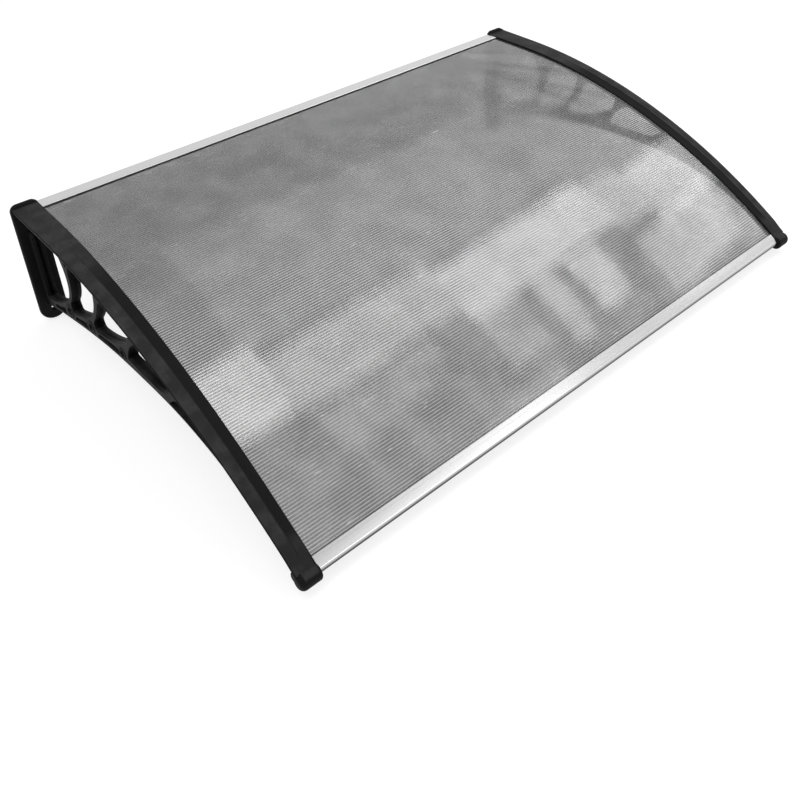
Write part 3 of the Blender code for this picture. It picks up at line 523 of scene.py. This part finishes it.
def rear_outline():
    """The rear profile's section: the top plate, the lip under the sheet and the leg."""
    w, back, ease = PROFILE_WALL, REAR_START, REAR_EASE
    top = PLATE_TOP - GASKET_THICK - CLEARANCE
    front, lip = back + REAR_COVER, back + REAR_LIP
    return [(back, -top - ease), (back + ease, -top), (front - ease, -top), (front, -top - ease),
            (front, -top - w), (back + w, -top - w), (back + w, -SHELF), (lip, -SHELF), (lip, -SHELF - w),
            (back + w, -SHELF - w), (back + w, -top - REAR_HEIGHT), (back, -top - REAR_HEIGHT)]


made = bmesh.new()
add_tube(made, [side_ring(rear_outline(), x) for x in (-PROFILE_HALF, PROFILE_HALF)])
finish_piece("rear_edge_profile", made, aluminium, "rear_profile")

# %% [markdown]
# ## The brackets: outlines
# A bracket is one moulding: a broad rail, an openwork web of an arm and three tendrils under it, a wall
# plate and a knob. The web is drawn from the side, in thousandths of the reach and of the rail's fall,
# with straight lines and arcs, the way a mould maker would draw it, and one smooth curve for the arm's
# underside. The corners of its openings and panels get a fillet, because a mould can't fill a sharp one.

# %% Drawing helpers
STRIP_DEPTH, INTO_PLATE, RIB_FRONT, RIB_TOP, RIB_SLOPE = 0.017, 0.0040, 0.025, 0.055, 0.004
FOOT_FLARE, PANEL_RIM, PANEL_TOP = 0.0060, 0.0042, 0.0145
CORNER, FORK_CORNER, CORNER_SHARE = 0.0040, 0.0020, 0.4
WEB_INSIDE = 0.0010      # the web's top edge lies this much deeper than flange and sheet, in the rail's ledge
CURVE_STEPS = 14


def drawn(point):
    """A point of the drawing, which is in thousandths of the reach and of the rail's fall."""
    return point[0] * REACH / 1000, point[1] * TIP_DROP / 1000


def on_drawing(d, z):
    """The drawing's thousandths for a real point; the reverse of drawn."""
    return d * 1000 / REACH, z * 1000 / TIP_DROP


def strip_under(share, depth=STRIP_DEPTH):
    """The drawing's point under the rail, at the underside of the strip below it."""
    d = share * REACH / 1000
    return on_drawing(d, below_rail(d, depth)[1])


def arc_through(start, via, end, steps=CURVE_STEPS):
    """Points of the circle through three points, from the first up to the last."""
    (ax, ay), (bx, by), (cx, cy) = start, via, end
    turn = 2 * (ax * (by - cy) + bx * (cy - ay) + cx * (ay - by))
    if abs(turn) < 1e-9:
        return [start, end]
    a2, b2, c2 = ax * ax + ay * ay, bx * bx + by * by, cx * cx + cy * cy
    ox = (a2 * (by - cy) + b2 * (cy - ay) + c2 * (ay - by)) / turn
    oy = (a2 * (cx - bx) + b2 * (ax - cx) + c2 * (bx - ax)) / turn
    radius = hypot(ax - ox, ay - oy)
    first = atan2(ay - oy, ax - ox)
    sweep = (atan2(cy - oy, cx - ox) - first) % (2 * pi)
    if (atan2(by - oy, bx - ox) - first) % (2 * pi) > sweep:
        sweep -= 2 * pi
    angles = [first + sweep * i / steps for i in range(steps + 1)]
    return [(ox + radius * cos(a), oy + radius * sin(a)) for a in angles]


def side(*points):
    """One side of an outline, from the drawing: a line through two points, or an arc through three."""
    points = [drawn(point) for point in points]
    return points if len(points) == 2 else arc_through(*points)


def trimmed(line, amount):
    """The polyline without this much of its length at each end."""
    for _ in range(2):
        left = min(amount, CORNER_SHARE * hypot(line[-1][0] - line[0][0], line[-1][1] - line[0][1]))
        while len(line) > 2 and hypot(line[1][0] - line[0][0], line[1][1] - line[0][1]) <= left:
            left -= hypot(line[1][0] - line[0][0], line[1][1] - line[0][1])
            line = line[1:]
        (ax, ay), (bx, by) = line[0], line[1]
        share = left / hypot(bx - ax, by - ay)
        line = [(ax + share * (bx - ax), ay + share * (by - ay))] + line[1:]
        line = line[::-1]
    return line


def rounded_loop(sides, corner=CORNER, steps=4):
    """A closed outline whose sides meet in rounded corners."""
    ends = [line[0] for line in sides]
    lines = [trimmed(line, corner) for line in sides]
    points = []
    for i, line in enumerate(lines):
        points += line
        tip = ends[(i + 1) % len(ends)]
        a, b = line[-1], lines[(i + 1) % len(lines)][0]
        for t in [k / steps for k in range(1, steps)]:
            points.append(tuple((1 - t) ** 2 * a[k] + 2 * t * (1 - t) * tip[k] + t * t * b[k]
                                for k in (0, 1)))
    return points


def curve_through(points, steps=8):
    """A smooth line through given points, after Catmull and Rom."""
    padded = [points[0]] + list(points) + [points[-1]]
    line = []
    for p0, p1, p2, p3 in zip(padded, padded[1:], padded[2:], padded[3:]):
        for i in range(steps):
            t = i / steps
            line.append(tuple(
                0.5 * (2 * p1[k] + (p2[k] - p0[k]) * t + (2 * p0[k] - 5 * p1[k] + 4 * p2[k] - p3[k]) * t ** 2
                       + (3 * p1[k] - p0[k] - 3 * p2[k] + p3[k]) * t ** 3) for k in (0, 1)))
    return line + [points[-1]]


print("the strip's underside at half the reach, on the drawing:", [round(v) for v in strip_under(500)])

# %% The arm's underside and the openings
ARM_UNDERSIDE = [(31, -983), (88, -916), (145, -857), (257, -754), (371, -675), (485, -635), (597, -617),
                 (682, -640), (768, -704), (867, -847), (952, -1034), (975, -1099)]
BOSSES = [((162, -750), 0.0072, 0.0140), ((274, -660), 0.0063, 0.0127), ((418, -579), 0.0058, 0.0114)]


def arm_underside():
    """The arm's lower edge, from the wall plate out to the knob."""
    foot = (RIB_FRONT, drawn(ARM_UNDERSIDE[0])[1])
    return curve_through([foot] + [drawn(point) for point in ARM_UNDERSIDE[1:]])


def rail_opening():
    """The large opening between the wall plate and the first tendril."""
    top = strip_under(161)
    foot = on_drawing(RIB_FRONT, drawn((0, -887))[1])
    rib = on_drawing(RIB_FRONT, -RIB_TOP)
    above_rib = on_drawing(PLATE_THICK, -RIB_TOP + RIB_SLOPE)
    corner = on_drawing(PLATE_THICK, -STRIP_DEPTH)
    return [side(foot, rib), side(rib, above_rib), side(above_rib, corner), side(corner, top),
            side(top, (195, -355), (146, -690)), side((146, -690), (95, -805), foot)]


def tendril_openings():
    """The three openings between the tendrils, from the wall outwards."""
    second = [side(strip_under(257), strip_under(331)), side(strip_under(331), (310, -419), (241, -635)),
              side((241, -635), (215, -680), (185, -724)), side((185, -724), (180, -675), (179, -635)),
              side((179, -635), (204, -488), (212, -276)), side((212, -276), (229, -160), strip_under(257))]
    third = [side(strip_under(393), strip_under(462)), side(strip_under(462), (461, -335), (434, -443)),
             side((434, -443), (375, -559), (302, -638)), side((302, -638), (296, -601), (296, -557)),
             side((296, -557), (325, -414), (341, -296)), side((341, -296), (360, -217), strip_under(393))]
    fourth = [side(strip_under(516), strip_under(622)), side(strip_under(622), (587, -525), (531, -564)),
              side((531, -564), (488, -574), (441, -575)), side((441, -575), (455, -453), (479, -352)),
              side((479, -352), (496, -305), strip_under(516))]
    return [second, third, fourth]


def fork_openings():
    """The small triangles where each tendril forks below the rail."""
    return [[side(strip_under(185), strip_under(238)), side(strip_under(238), (221, -143), (209, -222)),
             side((209, -222), (200, -143), strip_under(185))],
            [side(strip_under(348), strip_under(377)), side(strip_under(377), (363, -182), (349, -236)),
             side((349, -236), (349, -182), strip_under(348))],
            [side(strip_under(484), strip_under(507)), side(strip_under(507), (494, -281), (481, -320)),
             side((481, -320), (483, -281), strip_under(484))]]


def arm_panels():
    """The recessed panels: three along the arm and the long triangle in front."""
    low_start, top_start, nose = 588, 662, 900
    arm = [on_drawing(d, z + PANEL_RIM) for d, z in arm_underside()]
    low = [point for point in arm if low_start < point[0] < nose]
    top = [strip_under(nose + (top_start - nose) * i / 8, PANEL_TOP) for i in range(9)]
    front = [[drawn(p) for p in low], side(low[-1], top[0]), [drawn(p) for p in top],
             side(top[-1], (625, -502), low[0])]
    first = [side((71, -909), (137, -842)), side((137, -842), (132, -778)),
             side((132, -778), (106, -833), (74, -867)), side((74, -867), (71, -909))]
    second = [side((187, -788), (256, -729)), side((256, -729), (248, -680)),
              side((248, -680), (191, -749)), side((191, -749), (187, -788))]
    third = [side((302, -692), (401, -633)), side((401, -633), (399, -586)),
             side((399, -586), (356, -608), (306, -658)), side((306, -658), (302, -692))]
    return [first, second, third, front]


def web_outline():
    """The web's outer edge: inside the rail, round by the knob, and back along the arm to the wall plate."""
    inside = FLANGE + SHEET_THICK + WEB_INSIDE
    top = [below_rail(INTO_PLATE + (TIP_D - INTO_PLATE) * i / 40, inside) for i in range(40)]
    tip = (TIP_D, rail_top(TIP_D) - KNOB_SINK)
    under = arm_underside()[::-1]
    foot = [(PLATE_THICK, under[-1][1] - FOOT_FLARE), (INTO_PLATE, under[-1][1] - FOOT_FLARE)]
    return top + [tip] + under + foot


openings = [rounded_loop(sides) for sides in [rail_opening()] + tendril_openings()]
openings += [rounded_loop(sides, FORK_CORNER) for sides in fork_openings()]
panels = [rounded_loop(sides, FORK_CORNER) for sides in arm_panels()]
print(len(openings), "openings and", len(panels), "panels")

# %% [markdown]
# ## The brackets: solids
# The web is a flat figure with holes, given thickness and eased edges, which is what Blender's filled
# curves do best. Its panels are sunk by letting a thinner core show through a rim that has holes there.
# The rail is lofted: its section is worked out at each step along the curve, and it tapers, rises against
# the plate's lip and slopes down to the sheet along its inner part. A moulded side leans a little so that
# the part leaves its mould, and here the rail's outer side leans inwards. The knob is a turned body whose
# outer end is rounded more than its inner one, which sits over the front profile's end.

# %% Filled figures and turned bodies
def add_figure(target, loops, thick, ease, plane, rounds=2):
    """Adds a flat figure with holes, its edges eased, to the bmesh."""
    curve = bpy.data.curves.new("figure", "CURVE")
    curve.dimensions = "2D"
    curve.fill_mode = "BOTH"
    curve.extrude = thick / 2 - ease
    curve.bevel_depth = ease
    curve.bevel_resolution = rounds
    curve.offset = -ease
    for loop in loops:
        spline = curve.splines.new("POLY")
        spline.points.add(len(loop) - 1)
        for point, (u, v) in zip(spline.points, loop):
            point.co = (u, v, 0, 1)
        spline.use_cyclic_u = True
    made = bpy.data.objects.new("figure", curve)
    bpy.context.scene.collection.objects.link(made)
    bpy.context.view_layer.update()
    mesh = bpy.data.meshes.new_from_object(made)
    mesh.transform(plane)
    part = bmesh.new()
    part.from_mesh(mesh)
    bmesh.ops.remove_doubles(part, verts=part.verts, dist=1e-6)
    part.to_mesh(mesh)
    part.free()
    target.from_mesh(mesh)
    bpy.data.objects.remove(made)
    bpy.data.curves.remove(curve)
    bpy.data.meshes.remove(mesh)


def add_roll(target, profile, centre, steps=64, closed=False):
    """Adds a body turned round a line across the canopy, from (along, radius) pairs."""
    turn = Vector((0, 0, 1)).rotation_difference(Vector((1, 0, 0))).to_matrix()
    rings = []
    for along, radius in profile:
        angles = [2 * pi * i / steps for i in range(steps)]
        spots = [Vector((radius * cos(a), radius * sin(a), along)) for a in angles]
        rings.append([target.verts.new(Vector(centre) + turn @ spot) for spot in spots])
    pairs = list(zip(rings, rings[1:])) + ([(rings[-1], rings[0])] if closed else [])
    for near, far in pairs:
        for i in range(steps):
            j = (i + 1) % steps
            target.faces.new((near[i], near[j], far[j], far[i]))
    if not closed:
        target.faces.new(rings[0][::-1])
        target.faces.new(rings[-1])


def side_plane(x):
    """Turns a flat drawing (d, z) into the side view at this X."""
    return Matrix(((0, 0, 1, x), (-1, 0, 0, 0), (0, 1, 0, 0), (0, 0, 0, 1)))


def front_plane(d):
    """Turns a flat drawing (x, z) into the front view at this distance from the wall."""
    return Matrix(((1, 0, 0, 0), (0, 0, -1, -d), (0, 1, 0, 0), (0, 0, 0, 1)))


print("a drawn point 0.1 out and 0.2 up lies at", tuple(side_plane(0.0) @ Vector((0.1, 0.2, 0.0))))

# %% Rail
RAIL_WIDTH_REAR, RAIL_WIDTH_FRONT, LEDGE = 0.046, 0.033, 0.0030
RIDGE_SHARE, RIDGE_FALL, RAIL_EASE = 0.45, 0.0019, 0.0016
RAIL_TUCK = 0.0035       # draft of the rail's outer side, which leans inwards below its top edge
RIDGE_STEP = 0.0005      # the outer band stands this much over the sloping one
# points of that step's rounded edge: (across from the ridge, share of the step)
STEP_POINTS = ((-0.0010, 0.0), (-0.0004, 0.0), (0.0, 0.3), (0.0002, 1.2))
SLOPE_IN, SLOPE_START, SLOPE_END = 0.0006, 0.05, 0.9     # where the slope starts, and shares of its fall
KNOB_TUCK = 0.0014       # how far the rail's top dips behind the knob
RIDGE_RISES, RIDGE_FADES = (0.22, 0.40), (0.90, 0.97)
DIP_FROM, DIP_TO = 0.022, 0.012      # how far behind the knob's middle that dip sets in and is full
COVE, COVE_SHARE = 0.0030, 0.40      # the hollow against the wall plate's lip, and its rise as a share
LOW_EASE, INNER_EASE = 0.0008, 0.0012    # rounding of the rail's bottom edges and of its inner top edge
RAIL_STEPS = 90
RAIL_SHORT = 0.0010      # the rail ends this far behind the knob's middle


def rail_width(d):
    """The rail tapers evenly from the wall to the front."""
    return RAIL_WIDTH_REAR + (RAIL_WIDTH_FRONT - RAIL_WIDTH_REAR) * d / REACH


def eased_in(value, start, end):
    """Zero before the start, one after the end, and a soft rise between."""
    t = min(1.0, max(0.0, (value - start) / (end - start)))
    return t * t * (3 - 2 * t)


def cove_at(d):
    """How far the top rises in the hollow against the lip."""
    t = min(1.0, max(0.0, (PLATE_THICK + COVE - d) / COVE))
    return COVE_SHARE * COVE * (1 - sqrt(1 - t * t))


def rail_section(d):
    """(across, depth) round the rail, from its outer bottom edge over the top and through the groove."""
    width, ease, low, inner = rail_width(d), RAIL_EASE, LOW_EASE, INNER_EASE
    fall = RIDGE_FALL * eased_in(d / REACH, *RIDGE_RISES) * (1 - eased_in(d / REACH, *RIDGE_FADES))
    step = RIDGE_STEP * fall / RIDGE_FALL
    bottom = SHELF + LEDGE
    rise = cove_at(d) - KNOB_TUCK * eased_in(d, TIP_D - DIP_FROM, TIP_D - DIP_TO)
    ridge = width * (1 - RIDGE_SHARE)
    outer_low = [(x + RAIL_TUCK, y) for x, y in arc((low, bottom - low), low, 90, 180, 3)]
    outer_top = [(x, y - rise) for x, y in arc((ease, ease), ease, 180, 270, 6)]
    flat = [(ridge / 2, -rise)] + [(ridge + x, share * step - rise) for x, share in STEP_POINTS]
    slope = [(ridge + SLOPE_IN, step + SLOPE_START * fall - rise),
             (width - 3 * inner, SLOPE_END * fall - rise)]
    turned_in = arc((width - inner, fall + inner), inner, 270, 360, 5)
    inner_top = [(x, y - rise * (1 - k / 5)) for k, (x, y) in enumerate(turned_in)]
    groove = [(width, FLANGE), (width / 2, FLANGE), (width / 2, SHELF), (width, SHELF)]
    inner_low = arc((width - low, bottom - low), low, 0, 90, 3)
    return outer_low + outer_top + flat + slope + inner_top + groove + inner_low


def rail_rings(hand):
    """The rail's sections, from inside the wall plate out to the knob."""
    start, end = length_to(PLATE_THICK + COVE), length_to(TIP_D - RAIL_SHORT)
    distances = [INTO_PLATE, PLATE_THICK] + [PLATE_THICK + COVE * k / 8 for k in range(1, 8)]
    distances += [along_rail(start + (end - start) * i / RAIL_STEPS) for i in range(RAIL_STEPS + 1)]
    rings = []
    for d in distances:
        ring = []
        for across, depth in rail_section(d):
            point_d, z = below_rail(d, depth)
            ring.append((hand * (CENTRE_X + rail_width(d) / 2 - across), -point_d, z))
        rings.append(ring)
    return rings


print("rail section:", len(rail_section(0.4)), "points")

# %% Web, wall plate, knob and bosses
WEB_WIDTH, PANEL_WALL, WEB_EASE, CORE_EASE = 0.018, 0.006, 0.0009, 0.0002
PLATE_TONGUE, PLATE_CORNER, PLATE_ROUND = 0.04045, 0.013, 0.0038
TONGUE_FLAT = 0.0001     # half of the flat left between the two arcs at the plate's foot
UPPER_HOLE, LOWER_HOLE, WALL_HOLE = 0.040, 0.0165, 0.0080
KNOB_OVERHANG, KNOB_FLUSH, KNOB_EASE, KNOB_END = 0.0015, 0.0004, 0.0045, 0.0085
LOBE_BACK, LOBE_DOWN, LOBE_RADIUS, LOBE_INNER, LOBE_EASE = 0.0125, 0.0040, 0.0088, 0.0080, 0.0020
BOSS_PROUD, BOSS_EDGE, BOSS_LINING = 0.0010, 0.0006, 0.0006
GROOVE_IN, GROOVE_DEEP = 0.0022, 0.0008      # a fine groove round each boss's face
GROOVE_FLOOR, GROOVE_SIDE = 0.0004, 0.0006


def circle(centre, radius, steps=40):
    turns = [2 * pi * i / steps for i in range(steps)]
    return [(centre[0] + radius * cos(a), centre[1] + radius * sin(a)) for a in turns]


def plate_outline(hand):
    """The wall plate from the front: two rounded corners and a half-round foot."""
    foot = drawn(ARM_UNDERSIDE[0])[1] - PLATE_TONGUE
    x, half, tongue = hand * CENTRE_X, PLATE_WIDTH / 2, PLATE_WIDTH / 2 - TONGUE_FLAT
    return (arc((x + half - PLATE_CORNER, PLATE_LIP - PLATE_CORNER), PLATE_CORNER, 0, 90, 12)
            + arc((x - half + PLATE_CORNER, PLATE_LIP - PLATE_CORNER), PLATE_CORNER, 90, 180, 12)
            + arc((x - half + tongue, foot + tongue), tongue, 180, 270, 18)
            + arc((x + half - tongue, foot + tongue), tongue, 270, 360, 18))


def knob_profile(length, radius, low_ease, high_ease, steps=8):
    """(along, radius) of a short roller with each end rounded by its own radius."""
    turns = [pi / 2 * i / steps for i in range(steps + 1)]
    low = [(low_ease - low_ease * cos(a), radius - low_ease + low_ease * sin(a)) for a in turns]
    high = [(length - high_ease + high_ease * sin(a), radius - high_ease + high_ease * cos(a)) for a in turns]
    return low + high


def boss_profile(hole, ring):
    """(along, radius) round a boss: bore, grooved face, rim, and the same on the far side."""
    face, groove = -WEB_WIDTH / 2 - BOSS_PROUD, ring - GROOVE_IN
    sunk = face + GROOVE_DEEP
    near = [(face + BOSS_PROUD, hole), (face, hole + BOSS_PROUD),
            (face, groove - GROOVE_FLOOR - GROOVE_SIDE), (sunk, groove - GROOVE_FLOOR),
            (sunk, groove), (face, groove + GROOVE_SIDE),
            (face, ring - BOSS_EDGE), (face + BOSS_EDGE, ring)]
    return near + [(-along, radius) for along, radius in near[::-1]]


def bracket_mesh(hand):
    """One bracket, left (-1) or right (1): rail, web, plate, knob, lobe and bosses."""
    made = bmesh.new()
    x = hand * CENTRE_X
    add_tube(made, rail_rings(hand))
    holes = [circle(drawn(centre), hole + BOSS_LINING) for centre, hole, _ in BOSSES]
    add_figure(made, [web_outline()] + openings + holes + panels, WEB_WIDTH, WEB_EASE, side_plane(x))
    add_figure(made, [web_outline()] + openings + holes, PANEL_WALL, CORE_EASE, side_plane(x), 0)
    foot = drawn(ARM_UNDERSIDE[0])[1]
    plate = [plate_outline(hand)] + [circle((x, z), WALL_HOLE / 2) for z in (-UPPER_HOLE, foot - LOWER_HOLE)]
    add_figure(made, plate, PLATE_THICK, PLATE_ROUND, front_plane(PLATE_THICK / 2), 4)
    knob_d, knob_z = TIP_D, rail_top(TIP_D) - KNOB_SINK
    ends = (RAIL_WIDTH_FRONT / 2 + KNOB_FLUSH, RAIL_WIDTH_FRONT / 2 + KNOB_OVERHANG)
    ends, eases = (ends, (KNOB_END, KNOB_EASE)) if hand < 0 else (ends[::-1], (KNOB_EASE, KNOB_END))
    add_roll(made, knob_profile(sum(ends), KNOB_RADIUS, *eases), (x - ends[0], -knob_d, knob_z))
    low, high = sorted((x - hand * LOBE_INNER, x + hand * (RAIL_WIDTH_FRONT / 2 - RAIL_TUCK)))
    lobe = knob_profile(high - low, LOBE_RADIUS, LOBE_EASE, LOBE_EASE)
    add_roll(made, lobe, (low, -knob_d + LOBE_BACK, knob_z - LOBE_DOWN))
    for centre, hole, ring in BOSSES:
        d, z = drawn(centre)
        add_roll(made, boss_profile(hole, ring), (x, -d, z), steps=48, closed=True)
    return made


for hand, name in ((-1, "left_bracket"), (1, "right_bracket")):
    finish_piece(name + "_moulding", bracket_mesh(hand), plastic, name)

# %% Finishes on the nodes that keep their solid
KEPT = {"rear_gasket": rubber, "rear_left_screw": steel, "rear_right_screw": steel,
        "front_left_screw": steel, "front_right_screw": steel}
for name, material in KEPT.items():
    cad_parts[name].material_slots[0].material = material
print("kept:", ", ".join(sorted(KEPT)))

# %% [markdown]
# ## Floor and light
# The floor is paper that lies just under the lowest points of the brackets. A glow makes it white wherever
# it is seen, and its own grey keeps a faint shadow. The world is a pale studio: light grey round the
# horizon and darker overhead, so that shiny surfaces have something to show. The softboxes hang over and
# ahead of the canopy. A box could be put up by eye, but here each one hangs where the camera sees it
# mirrored in a chosen patch of the sheet. That gives the even grey middle, the bright band across the
# curve and the streaks in front of it.

# %% Floor
FLOOR_Z, FLOOR_HALF = -0.2405, 9.0
PAPER_GLOW = 0.76        # lifts the paper to white where it is seen, and leaves its shadow
paper, tree, shader = new_material("studio_paper", colour("#a2a2a2"))
shader.inputs["Roughness"].default_value = 0.9
shader.inputs["Specular IOR Level"].default_value = 0.0
ray = add_node(tree, "ShaderNodeLightPath")
mirrored_too = add_node(tree, "ShaderNodeMath", {"operation": "MAXIMUM"},
                        {0: ray.outputs["Is Camera Ray"], 1: ray.outputs["Is Glossy Ray"]})
seen = add_node(tree, "ShaderNodeMath", {"operation": "MAXIMUM"},
                {0: mirrored_too, 1: ray.outputs["Is Transmission Ray"]})
lift = add_node(tree, "ShaderNodeMath", {"operation": "MULTIPLY"}, {0: seen, 1: PAPER_GLOW})
shader.inputs["Emission Color"].default_value = colour("#ffffff")
tree.links.new(lift.outputs[0], shader.inputs["Emission Strength"])
made = bmesh.new()
half = FLOOR_HALF
corners = [(-half, -half), (half, -half), (half, half), (-half, half)]
made.faces.new([made.verts.new((x, y, FLOOR_Z)) for x, y in corners])
mesh = bpy.data.meshes.new("floor")
made.to_mesh(mesh)
made.free()
mesh.materials.append(paper)
floor = bpy.data.objects.new("floor", mesh)
bpy.context.scene.collection.objects.link(floor)
print("floor at", FLOOR_Z)

# %% World
world = bpy.data.worlds.new("studio")
bpy.context.scene.world = world
world.use_nodes = True
tree = world.node_tree
tree.nodes.clear()
where = add_node(tree, "ShaderNodeTexCoord")
height = add_node(tree, "ShaderNodeSeparateXYZ", inputs={0: where.outputs["Generated"]})
sky = add_node(tree, "ShaderNodeMapRange",
               inputs={"Value": height.outputs[2], "From Min": 0.40, "From Max": 0.70,
                       "To Min": 0.86, "To Max": 0.5})
light = add_node(tree, "ShaderNodeBackground", inputs={"Color": colour("#ffffff"), "Strength": sky})
add_node(tree, "ShaderNodeOutputWorld", inputs={"Surface": light})
print("world made")

# %% Lamps
def add_lamp(name, at, turned, wide, long, radiance):
    """A softbox: its power follows from its size and from how bright its face should look."""
    lamp = bpy.data.lights.new(name, "AREA")
    lamp.shape = "RECTANGLE"
    lamp.size, lamp.size_y = wide, long
    lamp.energy = radiance * pi * wide * long
    made = bpy.data.objects.new(name, lamp)
    made.location = at
    made.rotation_euler = turned
    bpy.context.scene.collection.objects.link(made)
    print(name, round(lamp.energy, 1), "W")


BOX_HIGH = 1.60


def mirrored(x, d):
    """Where the boxes' plane is seen from the camera, mirrored in the sheet at this X and distance."""
    point = Vector((x, -d, rail_top(d) - FLANGE - CLEARANCE))
    ray = (point - Vector(CAMERA_AT)).normalized()
    out = ray.reflect(Vector((0, -sin(slope_at(d)), cos(slope_at(d)))))
    return point + out * (BOX_HIGH - point.z) / out.z


print("the sheet's middle mirrors the point", [round(v, 2) for v in mirrored(0, 0.4)])

# %% Softboxes and key light
# the patch that mirrors each box: from one X to another, from one distance to another, and the box's radiance
BOXES = [("middle", -0.48, 0.14, 0.270, 0.515, 0.5), ("middle_right", 0.14, 0.36, 0.270, 0.515, 0.2),
         ("near_left_edge", -0.58, -0.46, 0.505, 0.62, 3.2), ("near_left", -0.46, -0.13, 0.525, 0.62, 2.0),
         ("near_middle", -0.13, 0.26, 0.528, 0.63, 3.0), ("near_gap", 0.26, 0.36, 0.528, 0.63, 1.7),
         ("near_right", 0.36, 0.58, 0.530, 0.65, 2.2), ("far_left", -0.44, -0.22, 0.63, 0.70, 0.7),
         ("far_a", -0.12, -0.03, 0.63, 0.73, 1.3), ("far_b", 0.01, 0.06, 0.63, 0.75, 2.4),
         ("far_c", 0.10, 0.18, 0.63, 0.73, 3.2), ("far_d", 0.27, 0.50, 0.65, 0.76, 2.0),
         ("edge_left", -0.62, -0.08, 0.785, 0.880, 1.1)]
for name, x_low, x_high, d_low, d_high, radiance in BOXES:
    x_middle, d_middle = (x_low + x_high) / 2, (d_low + d_high) / 2
    rear, front = mirrored(x_middle, d_low), mirrored(x_middle, d_high)
    wide = (mirrored(x_high, d_middle) - mirrored(x_low, d_middle)).length
    turn = atan2(front.x - rear.x, rear.y - front.y)
    add_lamp(name, (rear + front) / 2, (0, 0, turn), wide, (rear - front).length, radiance)
KEY_AT, KEY_AIM = Vector((-1.1, -0.5, 2.3)), Vector((0, -0.4, 0))
KEY_WIDE, KEY_RADIANCE = 1.6, 2.0
key_turn = (KEY_AT - KEY_AIM).to_track_quat("Z", "Y").to_euler()
add_lamp("key", KEY_AT, key_turn, KEY_WIDE, KEY_WIDE, KEY_RADIANCE)
